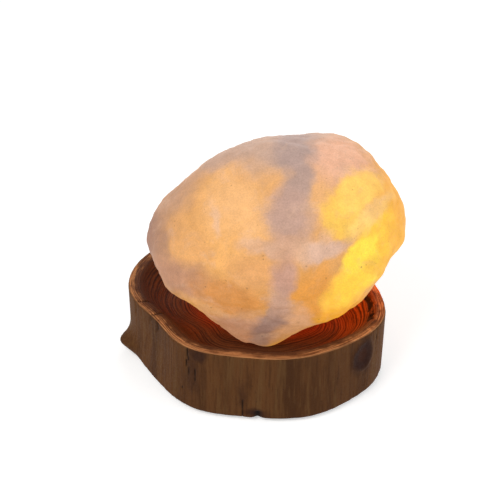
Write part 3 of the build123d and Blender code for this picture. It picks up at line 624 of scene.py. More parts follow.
@dataclass(frozen=True)
class SaltFinish:
    """Frosted rock salt that glows: a pale skin, and light that its milky veins hold back.

    Attributes:
        skin, clear_skin: colour of the unlit surface over milky and over clear salt.
        glow: light from the salt between the patches.
        milk: light from its paler clouds.
        power: emission strength, of which the colours are shares.
        patches: laid over each other in this order.
    """

    skin: Colour = (0.28, 0.20, 0.17)
    clear_skin: Colour = (0.27, 0.15, 0.075)
    glow: Colour = (0.56, 0.25, 0.04)
    milk: Colour = (0.50, 0.29, 0.16)
    power: float = 4.0
    patches: tuple[GlowPatch, ...] = (
        # the foot, nearest to the bulb, throws a red light into the dish
        GlowPatch((20, 10, 34), (96, 42, 13), (3.1, 0.36, 0.03), 1.0, 0.3),
        GlowPatch((80, -6, 53), (38, 25, 17), (2.8, 0.60, 0.05), 1.0, 0.35),
        # thick, dull salt at the left end, along the upper left slope and on the summit
        GlowPatch((-84, 0, 100), (36, 80, 62), (0.11, 0.02, 0.0), 0.95, 0.6),
        GlowPatch((-50, 4, 138), (30, 26, 20), (0.31, 0.14, 0.05), 0.9, 0.5),
        GlowPatch((-22, 8, 162), (34, 24, 12), (0.30, 0.15, 0.07), 0.9, 0.5),
        GlowPatch((10, 15, 182), (95, 62, 26), (0.32, 0.20, 0.14), 0.9, 0.5),
        # clear salt on the left
        GlowPatch((-10, -42, 138), (21, 34, 22), (0.70, 0.35, 0.10), 0.95, 0.45),
        GlowPatch((-16, -50, 118), (18, 30, 16), (0.70, 0.33, 0.07), 0.9, 0.5),
        GlowPatch((-41, -44, 112), (13, 30, 11), (0.62, 0.28, 0.06), 0.85, 0.5),
        # milky salt low on the left
        GlowPatch((-46, -44, 88), (24, 30, 13), (0.27, 0.09, 0.02), 0.9, 0.55),
        GlowPatch((-25, -44, 135), (3, 20, 6), (0.64, 0.38, 0.22), 0.45, 0.6),
        # orange salt under it
        GlowPatch((2, -64, 108), (16, 30, 11), (0.56, 0.24, 0.05), 0.9, 0.6),
        GlowPatch((-14, -60, 87), (24, 30, 12), (0.46, 0.15, 0.0), 0.9, 0.5),
        GlowPatch((38, -62, 88), (16, 30, 24), (0.58, 0.21, 0.0), 0.95, 0.5),
        GlowPatch((58, -54, 66), (16, 30, 14), (0.74, 0.31, 0.0), 0.95, 0.45),
        # the right: peach beside the vein, pale at the top
        GlowPatch((45, -44, 146), (11, 34, 20), (0.62, 0.30, 0.08), 0.95, 0.45),
        GlowPatch((60, -14, 162), (26, 26, 13), (0.62, 0.29, 0.15), 0.9, 0.5),
        GlowPatch((98, -14, 118), (22, 40, 34), (0.72, 0.32, 0.0), 0.95, 0.4),
        # the clear window in front of the bulb
        GlowPatch((92, -20, 98), (17, 34, 24), (0.76, 0.36, 0.0), 0.95, 0.4),
        GlowPatch((58, -43, 140), (15, 34, 12), (0.80, 0.48, 0.03), 0.95, 0.35),
        GlowPatch((72, -33, 147), (17, 30, 9.5), (0.84, 0.52, 0.07), 0.95, 0.4),
        GlowPatch((80, -40, 116), (17, 34, 17), (0.82, 0.46, 0.0), 1.0, 0.3),
        GlowPatch((73, -48, 102), (13.5, 34, 20), (0.86, 0.64, 0.01), 1.0, 0.22),
        GlowPatch((63, -55, 87), (14, 30, 13), (0.88, 0.52, 0.0), 1.0, 0.45),
        GlowPatch((84, -32, 133), (15, 30, 6), (0.70, 0.42, 0.12), 0.7, 0.5),
        GlowPatch((87, -40, 94), (10, 24, 12), (0.72, 0.36, 0.0), 0.85, 0.4),
        GlowPatch((68, -44, 131), (10, 30, 7), (0.84, 0.56, 0.12), 0.7, 0.5),
        # the milky vein, from the summit down the front to the foot, with its two branches
        GlowPatch((-8, -56, 52), (30, 30, 22), (0.39, 0.17, 0.085), 0.9, 0.5),
        GlowPatch((30, -58, 58), (12, 30, 22), (0.54, 0.26, 0.11), 0.9, 0.45),
        GlowPatch((28, -10, 170), (14, 40, 9), (0.19, 0.13, 0.12), 0.9, 0.5),
        GlowPatch((29, -34, 156), (8, 40, 13), (0.22, 0.14, 0.12), 0.9, 0.5),
        GlowPatch((23, -52, 139), (14, 34, 13), (0.29, 0.16, 0.12), 0.9, 0.45),
        GlowPatch((17, -62, 124), (9, 30, 8), (0.40, 0.19, 0.09), 0.85, 0.55),
        GlowPatch((44, -58, 121), (18, 30, 7), (0.50, 0.30, 0.20), 0.9, 0.5),
        GlowPatch((3, -62, 125), (12, 30, 4.5), (0.48, 0.25, 0.12), 0.7, 0.5),
        GlowPatch((20, -68, 104), (8, 30, 13), (0.34, 0.15, 0.10), 0.85, 0.5),
        GlowPatch((17, -66, 82), (8, 30, 16), (0.32, 0.16, 0.10), 0.85, 0.5),
        GlowPatch((12, -58, 61), (8.5, 30, 15), (0.21, 0.11, 0.08), 0.95, 0.5),
        GlowPatch((8, -54, 44), (8, 30, 9), (0.24, 0.13, 0.09), 0.8, 0.6),
        # the far side: another vein and two clear places
        GlowPatch((-10, 82, 120), (14, 30, 50), (0.32, 0.17, 0.11), 0.9, 0.4),
        GlowPatch((44, 78, 96), (26, 30, 24), (0.76, 0.38, 0.02), 0.9, 0.35),
        GlowPatch((-52, 62, 84), (22, 30, 18), (0.60, 0.26, 0.03), 0.85, 0.45),
    )

    def warped(self, s: Shader, place: Socket) -> Socket:
        """The place pushed about by two sizes of noise, so that patches get ragged edges.

        Args:
            s: the material's Shader.
            place: the place, mm.

        Returns:
            The pushed place, mm.
        """
        for size, push in ((34.0, 26.0), (9.0, 9.0)):
            pushed = s.vector("MULTIPLY", s.wander(place, size, 3.0), (push, push, push))
            place = s.vector("ADD", place, pushed)
        return place

    def dots(self, s: Shader, place: Socket) -> Socket:
        """Dark specks, fine ones, and short nicks that lie level.

        Args:
            s: the material's Shader.
            place: the place, mm.

        Returns:
            Their mask.
        """
        coarse = s.specks(place, 3.4, 0.30, 0.16)
        fine = s.specks(place, 1.5, 0.40, 0.16)
        nicks = s.specks(s.vector("MULTIPLY", place, (0.3, 1.0, 1.0)), 4.5, 0.14, 0.10)
        return s.math("MAXIMUM", s.math("ADD", coarse, s.times(fine, 0.5), clamp=True), nicks)

    def build(self) -> bpy.types.Material:
        """Builds the salt's material.

        Returns:
            The material.
        """
        material, s, surface, place = start_material("glowing_salt")
        warped = self.warped(s, place)
        glow: Value = self.glow
        for patch in self.patches:
            mask = s.patch(warped, patch.centre, patch.size, patch.edge)
            glow = s.mix(s.times(mask, patch.strength), glow, patch.colour)
        clouds = s.noise(warped, 15.0, 5.0, 0.6)
        glow = s.mix(s.step(clouds, 0.52, 0.80, 0.0, 0.42), glow, self.milk)
        # frosted grains and dark dots tone the light and the skin alike
        sand = s.noise(place, 1.1, 4.0, 0.65)
        mottle = s.times(s.smudge(place, 8.0, 0.42), s.step(sand, 0.3, 0.7, 0.90, 1.08))
        dots = self.dots(s, place)
        tone = s.times(mottle, s.math("SUBTRACT", 1.0, s.times(dots, 0.5)))
        # salt is clear where it glows red and not blue
        parts = s.node("ShaderNodeSeparateColor", {0: glow}).outputs
        clear = s.math("SUBTRACT", parts[0], s.times(parts[2], 3.0))
        skin = s.mix(s.step(clear, 0.1, 0.6), self.skin, self.clear_skin)
        waves = s.bump(s.noise(place, 6.0, 5.0, 0.6), 1.6, 0.6)
        pitted = s.math("SUBTRACT", 1.0, dots)
        s.fill(surface, {
            "Base Color": s.scaled(skin, tone),
            "Emission Color": s.scaled(glow, s.math("DIVIDE", tone, self.power)),
            "Emission Strength": self.power,
            "Roughness": s.step(sand, 0.3, 0.8, 0.5, 0.75),
            "Specular IOR Level": 0.3,
            "Normal": s.bump(pitted, 0.35, 0.6, s.bump(sand, 0.35, 0.5, waves)),
        })
        return material


@dataclass(frozen=True)
class TrunkFinish:
    """Slice of trunk: ringed dark heartwood, pale sapwood at the rim, weathered side, and the crystal's
    glow painted on the dish and the front of the rim.

    The mesh carries four numbers: bark, the distance in from the bark (mm); side, 1 on the outer wall;
    the shade of cracks, 1 in cracks and bark pockets, which paints shade into the cracks, splits and holes
    and the bark's own dark colour into the pockets; and knot, the distance from the knot.
    """

    heart_dark: Colour = (0.046, 0.012, 0.004)
    heart_light: Colour = (0.132, 0.040, 0.012)
    # painted glow: the colour of the wood where the crystal's light falls on the dish and the front of the
    # rim
    glow_lit_wood: Colour = (0.270, 0.090, 0.024)
    sapwood: Colour = (0.59, 0.25, 0.094)
    sapwood_dull: Colour = (0.110, 0.034, 0.012)
    side_light: Colour = (0.124, 0.048, 0.014)
    side_dark: Colour = (0.062, 0.022, 0.006)
    side_olive: Colour = (0.138, 0.064, 0.021)
    stain: Colour = (0.026, 0.0075, 0.004)
    # painted shade in the cracks, splits and holes; also the dark of the bark pocket and of the specks
    crack: Colour = (0.010, 0.004, 0.002)
    ring_spacing: float = 1.25
    # dark stains on the side: middle and half sizes (mm), and strength
    stains: tuple[tuple[Triple, Triple, float], ...] = (
        ((-40, -72, 32), (5, 12, 17), 0.55), ((-35, -74, 48), (6, 9, 4), 0.8),
        ((-6, -79, 21), (4, 9, 9), 0.5), ((4, -79, 6), (8, 9, 5), 0.9),
        ((55, -64, 28), (7, 10, 22), 0.20), ((78, -46, 24), (4, 8, 4), 0.6),
        ((-68, -56, 34), (8, 10, 14), 0.35), ((40, 76, 30), (9, 12, 18), 0.5),
        ((-50, 66, 12), (12, 12, 8), 0.6), ((88, 20, 40), (8, 12, 10), 0.5),
        ((74, -56, 36), (9, 10, 12), 0.9),
    )

    def ring_lines(self, s: Shader, bark: Socket, place: Socket) -> tuple[Socket, Socket]:
        """Growth rings: a sine of the warped distance from the bark, and broad bands.

        Args:
            s: the material's Shader.
            bark: distance in from the bark, mm.
            place: the place, mm.

        Returns:
            The mask of the lines, and the bands' tone.
        """
        warped = s.math("ADD", bark, s.times(s.noise(place, 28.0, 3.0), 3.0))
        warped = s.math("ADD", warped, s.times(s.noise(place, 5.0, 2.0), 1.3))
        wave = s.math("SINE", s.times(warped, 2 * math.pi / self.ring_spacing))
        line = s.step(wave, -0.2, 0.95)
        inputs = {"W": warped, "Scale": 0.75, "Detail": 3.0}
        return line, s.node("ShaderNodeTexNoise", inputs, noise_dimensions="1D").outputs[0]

    def streaks(self, s: Shader, bark: Socket, place: Socket, width: float, length: float) -> Socket:
        """Noise drawn out along the rings: its third coordinate is the distance from the bark.

        Args:
            s: the material's Shader.
            bark: distance in from the bark, mm.
            place: the place, mm.
            width, length: size of a streak across and along the rings, mm.

        Returns:
            The noise, 0 to 1.
        """
        flat = s.vector("MULTIPLY", place, (1.0 / length, 1.0 / length, 0.0))
        inward = s.node("ShaderNodeCombineXYZ", {2: s.math("DIVIDE", bark, width)}).outputs[0]
        return s.noise(s.vector("ADD", flat, inward), 1.0, 4.0, 0.6)

    def top_colour(self, s: Shader, bark: Socket, place: Socket) -> tuple[Socket, Socket]:
        """Colour of the rim and the dish, with the crystal's glow and a highlight painted on.

        Args:
            s: the material's Shader.
            bark: distance in from the bark, mm.
            place: the place, mm.

        Returns:
            The colour, and the ring lines that also raise its bump.
        """
        line, bands = self.ring_lines(s, bark, place)
        lit = s.patch(place, (84, -24, 46), (30, 46, 16), 0.5)
        # heartwood: bands, ring lines and streaks, and painted glow: warmer where the crystal lights it
        light = s.mix(s.times(lit, 0.75), self.heart_light, self.glow_lit_wood)
        heart = s.mix(s.step(bands, 0.30, 0.66), self.heart_dark, light)
        sizes = ((3.0, 26.0), (1.1, 24.0), (0.7, 22.0))
        broad, narrow, strands = (self.streaks(s, bark, place, *size) for size in sizes)
        line = s.times(line, s.step(broad, 0.42, 0.62, 0.05, 1.0))
        heart = s.mix(s.times(line, 0.45), heart, self.heart_dark)
        heart = s.mix(s.step(narrow, 0.48, 0.66, 0.0, 0.75), heart, self.stain)
        # sapwood: strands and blotches, painted glow at the front, then a painted highlight along its outer
        # edge
        sap = s.mix(s.step(strands, 0.40, 0.56), self.sapwood_dull, self.sapwood)
        blotch = s.noise(place, 16.0, 4.0, 0.6)
        sap = s.mix(s.step(blotch, 0.50, 0.66, 0.0, 0.75), sap, self.sapwood_dull)
        # painted glow: the front of the rim, before the crystal, tinted in the colour of glow-lit wood
        front = s.patch(place, (8, -80, 52), (36, 16, 9), 0.6)
        sap = s.mix(s.times(front, 0.4), sap, self.glow_lit_wood)
        # painted highlight: the rounded outer edge of the rim in the pale sapwood colour
        sap = s.mix(s.step(bark, 1.9, 0.5, 0.0, 0.65), sap, self.sapwood)
        # the ragged line between the two
        ragged = s.times(s.math("SUBTRACT", s.noise(place, 9.0, 4.0), 0.5), 9.0)
        inside = s.step(s.math("ADD", bark, ragged), 2.8, 7.4)
        return s.mix(inside, sap, heart), line

    def side_colour(self, s: Shader, place: Socket) -> tuple[Socket, Socket]:
        """Colour of the weathered side.

        Args:
            s: the material's Shader.
            place: the place, mm.

        Returns:
            The colour, and the upright fibres that also raise its bump.
        """
        layers = ((0.05, 1.4, 4.0, 0.6), (0.12, 24.0, 3.0, 0.5), (0.07, 7.0, 3.0, 0.55))
        fibres, broad, bands = (
            s.noise(s.vector("MULTIPLY", place, (1.0, 1.0, squash)), size, detail, rough)
            for squash, size, detail, rough in layers
        )
        # broad tones, upright bands and fibres, stains, then the knot's rim and its middle
        colour = s.mix(s.step(broad, 0.34, 0.56), self.side_dark, self.side_light)
        colour = s.mix(s.step(bands, 0.52, 0.70, 0.0, 0.5), colour, self.side_dark)
        colour = s.mix(s.step(bands, 0.46, 0.32, 0.0, 0.7), colour, self.side_olive)
        colour = s.mix(s.step(fibres, 0.50, 0.66, 0.0, 0.62), colour, self.side_dark)
        colour = s.mix(s.step(fibres, 0.46, 0.36, 0.0, 0.35), colour, self.side_olive)
        pushed = s.vector("ADD", place, s.vector("MULTIPLY", s.wander(place, 12.0, 4.0), (9.0, 9.0, 16.0)))
        for middle, size, strength in self.stains:
            colour = s.mix(s.times(s.patch(pushed, middle, size, 0.6), strength), colour, self.stain)
        knot = s.math("ADD", s.attribute("knot"), s.times(s.noise(place, 3.5), 0.3))
        colour = s.mix(s.step(knot, 1.45, 0.95, 0.0, 0.9), colour, self.stain)
        colour = s.mix(s.step(knot, 0.80, 0.45, 0.0, 0.75), colour, self.heart_dark)
        return colour, fibres

    def build(self) -> bpy.types.Material:
        """Builds the wood's material.

        Returns:
            The material.
        """
        material, s, surface, place = start_material("trunk_wood")
        bark, side, recess_shade_and_bark = (s.attribute(name) for name in ("bark", "side", "recess_shade_and_bark"))
        top, line = self.top_colour(s, bark, place)
        flank, fibres = self.side_colour(s, place)
        # painted shade in the cracks, splits and holes, and the bark's own dark colour in the pocket
        colour = s.mix(recess_shade_and_bark, s.mix(side, top, flank), self.crack)
        dust = s.specks(place, 2.6, 0.4, 0.2)
        grain = s.noise(place, 1.4, 4.0, 0.6)
        raised = s.node("ShaderNodeMix", {0: side, 2: line, 3: fibres}, data_type="FLOAT").outputs[0]
        s.fill(surface, {
            "Base Color": s.mix(s.times(dust, 0.4), colour, self.crack),
            "Roughness": s.step(grain, 0.3, 0.7, 0.6, 0.85),
            "Specular IOR Level": 0.12,
            "Normal": s.bump(grain, 0.25, 0.4, s.bump(raised, 0.4, 0.5)),
        })
        return material


class Sheen(Enum):
    """How polished a moulded surface is, as its roughness."""

    SATIN = 0.38
    MATTE = 0.6
    GLAZED = 0.14
    SOFT = 0.8


@dataclass(frozen=True)
class MouldedFinish:
    """Plastic, rubber, porcelain or wire cover: one colour with a fine texture and a slow tone."""

    name: str
    colour: Colour
    sheen: Sheen
    texture: float = 0.05
    coat: float = 0.0

    def build(self) -> bpy.types.Material:
        """Builds the moulding's material.

        Returns:
            The material.
        """
        material, s, surface, place = start_material(self.name)
        tinted = s.scaled(self.colour, s.smudge(place, 9.0, 0.5))
        dust = s.specks(place, 2.0, 0.3, 0.2)
        grey = tuple(0.6 * c + 0.12 for c in self.colour)
        grain = s.noise(place, 0.5, 2.0)
        rough = self.sheen.value
        s.fill(surface, {
            "Base Color": s.mix(s.times(dust, 0.4), tinted, grey),
            "Roughness": s.step(grain, 0.3, 0.7, 0.85 * rough, min(1.0, 1.15 * rough)),
            "Coat Weight": self.coat,
            "Normal": s.bump(grain, self.texture, 0.5),
        })
        return material


@dataclass(frozen=True)
class MetalFinish:
    """Turned or pressed metal with fine scratches and a dull bloom in places."""

    name: str
    colour: Colour
    rough: float = 0.3

    def build(self) -> bpy.types.Material:
        """Builds the metal's material.

        Returns:
            The material.
        """
        material, s, surface, place = start_material(self.name)
        bloom = s.noise(place, 5.0, 4.0)
        dull = tuple(0.62 * c for c in self.colour)
        scratches = s.noise(s.vector("MULTIPLY", place, (0.2, 0.2, 3.0)), 0.5, 3.0)
        s.fill(surface, {
            "Base Color": s.mix(s.step(bloom, 0.4, 0.75), self.colour, dull),
            "Metallic": 1.0,
            "Roughness": s.step(bloom, 0.35, 0.75, self.rough, self.rough + 0.25),
            "Normal": s.bump(scratches, 0.02, 0.5),
        })
        return material


@dataclass(frozen=True)
class BulbGlassFinish:
    """Clear thin glass, faintly warm with the light inside."""

    tint: Colour = (1.0, 0.97, 0.92)
    warmth: Colour = (1.0, 0.55, 0.18)

    def build(self) -> bpy.types.Material:
        """Builds the glass's material.

        Returns:
            The material.
        """
        material, s, surface, place = start_material("clear_bulb_glass")
        s.fill(surface, {
            "Base Color": s.scaled(self.tint, s.smudge(place, 12.0, 0.06)),
            "Roughness": 0.03,
            "Transmission Weight": 1.0,
            "IOR": 1.45,
            "Emission Color": self.warmth,
            "Emission Strength": 0.12,
        })
        return material


@dataclass(frozen=True)
class HotWireFinish:
    """The lit filament, a little uneven along its length."""

    colour: Colour = (1.0, 0.62, 0.22)
    unlit: Colour = (0.3, 0.28, 0.25)
    strength: float = 18.0

    def build(self) -> bpy.types.Material:
        """Builds the filament's material.

        Returns:
            The material.
        """
        material, s, surface, place = start_material("hot_filament")
        s.fill(surface, {
            "Base Color": self.unlit,
            "Emission Color": s.scaled(self.colour, s.smudge(place, 2.0, 0.4)),
            "Emission Strength": self.strength,
        })
        return material


# ---- wood base ----------------------------------------------------------------------------


@dataclass(frozen=True)
class Crack:
    """A split in the wood's side: its direction (degrees), heights, width and depth (mm)."""

    turn: float
    low: float
    high: float
    width: float
    depth: float


@dataclass(frozen=True)
class WoodBase:
    """Slice of trunk with a dish on top and a hollow underneath, as rings of points.

    The rings go from the lamp's hole out over the hollow's ceiling and the underside, up the
    side, over the rim, down the dish and back to the hole, so the mesh closes on itself.

    Attributes:
        radii: the bark's distance from the middle in evenly spaced directions, mm.
        around, side_levels, rim_steps, slope_steps: points and rings of the mesh.
        rim_width, dish_slope: widths of the rim and of the slope inside it, mm.
        hole_radius: the hole for the lamp holder, mm.
        hollow, hollow_radius: middle and radius of the hollow underneath, mm.
        cover_radius, cover_top: radius and height of the ledge for its cover, mm.
        spur_reach, spur_level, spur_half: reach, height and half thickness of the root spur, mm.
        spur_turn, spur_width: its direction and half width, degrees.
        knot_turn, knot_height, knot_size: the knot's direction (degrees), height and half sizes.
        flares: how the foot of the side stands out.
        bulge: how the side leans out towards the rim.
        cracks, rim_splits: splits in the side and over the rim.
        inlet_radius, seat_radius, flange_radius, flange: the grommet's hole, its seat, and the
            recess of its flange, mm.
        foot_turns, foot_inset, foot_hole: where the feet are, and the radius and depth of their
            holes, mm.
        cover_screws, plate_screws, cover_screw_end, plate_screw_end: the screws' holes and the
            heights at which they end, mm.
        fibres, furrows: unevenness of the side.
        split_sway, rim_split_sway: how the splits wander.
        knot_edge, pocket_sway, pocket_gaps: how ragged the knot and the bark pocket are.
        rolling, tooling: broad and fine unevenness of the dish.
        unseen_knot: distance from the knot that is stored away from the side.
    """

    radii: tuple[float, ...] = (93, 89, 87, 86, 88, 92, 97, 96, 89, 78, 79, 82, 82, 88, 93, 99)
    around: int = 512
    rim_width: float = 9.0
    dish_slope: float = 26.0
    hole_radius: float = 15.0
    hollow: tuple[float, float] = (12.0, 3.0)
    hollow_radius: float = 46.0
    cover_radius: float = 54.0
    cover_top: float = 5.5
    spur_reach: float = 9.6
    spur_turn: float = 182.0
    spur_width: float = 7.5
    spur_level: float = 7.0
    spur_half: float = 5.5
    knot_turn: float = -37.0
    knot_height: float = 36.0
    knot_size: tuple[float, float] = (9.0, 10.5)
    # how far the foot of the side stands out: direction, width (degrees), reach, height (mm)
    flares: tuple[tuple[float, float, float, float], ...] = (
        (-152, 19, 3.4, 30), (-58, 16, 2.0, 40), (-105, 50, 2.0, 49), (90, 50, 1.2, 49),
    )
    cracks: tuple[Crack, ...] = (
        Crack(-125, 9, 17, 0.3, 0.8), Crack(-122, 34, 50, 0.4, 1.1),
        Crack(-117.5, 24, 36, 0.35, 0.8), Crack(-121, 30, 46, 0.3, 0.7),
        Crack(-171, 40, 52, 0.5, 1.4), Crack(-149, 44, 52, 0.9, 1.2), Crack(-156, 47, 52, 0.8, 1.0),
        Crack(-87, 2, 7, 2.6, 2.2), Crack(-28, 40, 51, 0.5, 1.0), Crack(-94, 3, 16, 0.5, 0.8),
        Crack(20, 10, 45, 0.5, 1.2), Crack(75, 20, 50, 0.5, 1.3),
        Crack(128, 5, 30, 0.5, 1.2), Crack(146, 25, 51, 0.4, 1.0),
    )
    # splits over the rim: direction (degrees), half width and depth (mm)
    rim_splits: tuple[Triple, ...] = (
        (-170, 1.0, 1.6), (-156, 0.8, 0.9), (35, 0.7, 1.2), (112, 0.8, 1.4),
    )
    # bulge of the side: direction, width (degrees) and reach at the rim (mm)
    bulge: Triple = (10, 15, 1.6)
    inlet_radius: float = 4.5
    seat_radius: float = 6.05
    flange_radius: float = 8.55
    flange: float = 2.5
    foot_turns: tuple[int, ...] = (45, 135, 225, 315)
    foot_inset: float = 13.0
    foot_hole: tuple[float, float] = (3.05, 8.05)
    # screws of the cover and the plate: directions (degrees), circle and hole radius (mm)
    cover_screws: tuple[tuple[int, ...], float, float] = ((30, 150, 270), 50.0, 1.55)
    plate_screws: tuple[tuple[int, ...], float, float] = ((90, 210, 330), 19.5, 1.45)
    cover_screw_end: float = 17.55
    plate_screw_end: float = 29.85
    side_levels: int = 50
    rim_steps: int = 12
    slope_steps: int = 42
    fibres: Rough = Rough(0.30, 3.5, 3, 5, (1, 1, 0.05))
    furrows: Rough = Rough(0.55, 22, 2, 9, (1, 1, 0.25))
    split_sway: Rough = Rough(1.9, 8, 2, 21, (0.15, 0.15, 1))
    rim_split_sway: Rough = Rough(1.2, 5, 2, 52)
    knot_edge: Rough = Rough(0.12, 0.6, 2, 33)
    pocket_sway: Rough = Rough(2.6, 11, 2, 61)
    pocket_gaps: Rough = Rough(1.0, 4.0, 2, 67)
    rolling: Rough = Rough(1.0, 24, 3, 41)
    tooling: Rough = Rough(1.0, 4.5, 3, 47)
    unseen_knot: float = 9.0

    @property
    def angle(self) -> Array:
        """Direction of each point of a ring."""
        return whole_turn(self.around)

    def radius(self, angle: Array) -> Array:
        """Periodic curve through the radii: the sum of their Fourier terms.

        Args:
            angle: directions, radians.

        Returns:
            The bark's distance from the middle, mm.
        """
        terms = np.fft.rfft(self.radii) / len(self.radii)
        terms[1:-1] *= 2
        k = np.arange(len(terms))[:, None]
        return (terms[:, None] * np.exp(1j * k * angle.ravel())).real.sum(axis=0).reshape(angle.shape)

    def circle(self, centre: tuple[float, float], radius: float, height: float) -> Array:
        """Level ring about a centre."""
        return polar(radius, self.angle, height) + [*centre, 0.0]

    @staticmethod
    def arc(angle: Array, degrees: float, radius: Array) -> Array:
        """Length along the bark from a direction in degrees to each angle, mm."""
        return turn_between(angle, degrees) * math.pi / 180 * radius

    def side_rings(self) -> tuple[Array, Array, Array]:
        """Rings up the side with its fibres, splits, knot and root spur.

        Radius = outline + spur + flares + bulge + fibres - splits + knot - rounded edges, where
        the fibres are noise drawn out along the height, and a split is a bell curve across it.

        Returns:
            The rings, how much painted shade each point gets in the splits, and its distance from the knot.
        """
        bottom, top = LAMP.wood_bottom, LAMP.wood_top
        height = np.linspace(bottom, top, self.side_levels)[:, None]
        angle = np.broadcast_to(self.angle, (self.side_levels, self.around))
        radius = self.radius(angle)
        level = height - bottom
        fade = bell(level - self.spur_level, self.spur_half)
        spur = self.spur_reach * fade * bell(turn_between(angle, self.spur_turn), self.spur_width)
        for turn, width, reach, tall in self.flares:
            spur = spur + reach * np.maximum(0, 1 - level / tall) * bell(turn_between(angle, turn), width)
        turn, width, reach = self.bulge
        spur = spur + reach * bell(turn_between(angle, turn), width) * level / (top - bottom)
        around = polar(radius, angle, height)
        relief = np.minimum(0.25, self.fibres.at(around) + self.furrows.at(around) - 0.35)
        recess_shade_and_bark = np.zeros_like(relief)
        sway = self.split_sway.at(around)
        for crack in self.cracks:
            away = self.arc(angle, crack.turn, radius) + sway
            ends = smoothstep(crack.low - 3, crack.low + 2, height)
            ends = ends * (1 - smoothstep(crack.high, crack.high + 3, height))
            groove = bell(away, crack.width) * ends
            relief = relief - crack.depth * groove
            # where the split is deep, its shade is painted dark
            recess_shade_and_bark = np.maximum(recess_shade_and_bark, smoothstep(0.25, 0.9, groove))
        knot = self.knot_distance(angle, height, radius)
        # a lip round the knot and a hollow in its middle, then the rounded edges of the side
        relief += 0.7 * bell(knot - 1.05, 0.22) - 1.3 * bell(knot, 0.55)
        edge = 0.6 * bell(level, 0.9) + 0.8 * bell(top - height, 0.9)
        radius = radius + spur + relief - edge
        return polar(radius, angle, height), recess_shade_and_bark, knot

    def knot_distance(self, angle: Array, height: Array, radius: Array) -> Array:
        """Distance from the knot's middle, made ragged by noise.

        Args:
            angle, height, radius: a point's direction (radians), height and radius (mm).

        Returns:
            The distance as a share of the knot's half sizes.
        """
        across = self.arc(angle, self.knot_turn, radius) / self.knot_size[0]
        up = (height - self.knot_height) / self.knot_size[1]
        flat = np.stack(np.broadcast_arrays(across, up, 0.0), axis=-1)
        return np.hypot(across, up) + self.knot_edge.at(flat)

    def top_rings(self, inset: Array, height: Array) -> tuple[Array, Array]:
        """Rings over the rim and down the dish, with raised growth rings and splits.

        Args:
            inset: distance inside the side, one for each ring.
            height: the plain surface's height, one for each ring.

        Returns:
            The rings, and how dark each point is painted: shade in the splits, and the bark of the pocket.
        """
        inset, height = inset[:, None], height[:, None]
        angle = np.broadcast_to(self.angle, (len(inset), self.around))
        radius = self.radius(angle) - inset
        flat = polar(radius, angle, 0.0)
        slope_end = self.rim_width + self.dish_slope
        on_slope = smoothstep(self.rim_width - 1, self.rim_width + 5, inset)
        on_slope = on_slope * smoothstep(slope_end + 2, slope_end - 8, inset)
        rolling, rough = self.rolling.at(flat), self.tooling.at(flat)
        ringed = np.sin(2 * math.pi * (inset + 1.5 * rolling) / 2.3)
        # tool marks and growth rings on the slope, fine marks on the rim, and its rounded edges
        drop = on_slope * (0.5 + 0.5 * rolling + 0.28 * rough + 0.08 * ringed)
        on_rim = smoothstep(-1, 3, inset) * (inset < self.rim_width + 5)
        drop += (1 - on_slope) * 0.22 * (1 + rough) * on_rim
        drop += 0.9 * bell(inset, 1.0) + 0.5 * bell(inset - self.rim_width, 1.2)
        recess_shade_and_bark = np.zeros_like(drop)
        sway = self.rim_split_sway.at(flat)
        on_top = 1 - smoothstep(self.rim_width, self.rim_width + 6, inset)
        for turn, width, depth in self.rim_splits:
            groove = bell(self.arc(angle, turn, radius) + sway, width) * on_top
            drop = drop + depth * groove
            # painted shade in the split over the rim
            recess_shade_and_bark = np.maximum(recess_shade_and_bark, 0.9 * smoothstep(0.35, 0.9, groove))
        pocket = self.bark_pocket(angle, inset, flat)
        drop = drop + 2.4 * pocket
        recess_shade_and_bark = np.maximum(recess_shade_and_bark, smoothstep(0.15, 0.6, pocket))
        return polar(radius, angle, height - drop), recess_shade_and_bark

    def bark_pocket(self, angle: Array, inset: Array, flat: Array) -> Array:
        """Ragged strip of bark grown into the wood, inside the rim on the right.

        Args:
            angle, inset: directions (radians) and distances in from the bark (mm).
            flat: the same points at height 0, mm.

        Returns:
            How much of it there is, 0 to 1.
        """
        turn = turn_between(angle, 0)
        along = smoothstep(-27, -19, turn) * smoothstep(16, 6, turn)
        across = bell(inset - 9.5 - self.pocket_sway.at(flat), 2.2)
        return along * across * smoothstep(-0.5, 0.0, self.pocket_gaps.at(flat))

    def build(self) -> bpy.types.Object:
        """The whole slice as one closed mesh with its numbers: bark, side, knot, and the painted shade of
        cracks with the dark of the bark pocket.

        Returns:
            The piece, drilled.
        """
        bottom, top, floor, ceiling = LAMP.wood_bottom, LAMP.wood_top, LAMP.dish_floor, LAMP.ceiling
        side, side_crack_shade, side_knot = self.side_rings()
        hole = [self.circle(LAMP.lamp_axis, self.hole_radius, z) for z in (ceiling, floor)]
        wall = [self.circle(self.hollow, self.hollow_radius, z) for z in (ceiling, self.cover_top)]
        rebate = [self.circle(self.hollow, self.cover_radius, z) for z in (self.cover_top, bottom)]
        under = [
            between(hole[0], wall[0], 6), between(wall[0], wall[1], 3), between(wall[1], rebate[0], 2),
            between(rebate[0], rebate[1], 1), between(rebate[1], side[0], 8),
        ]
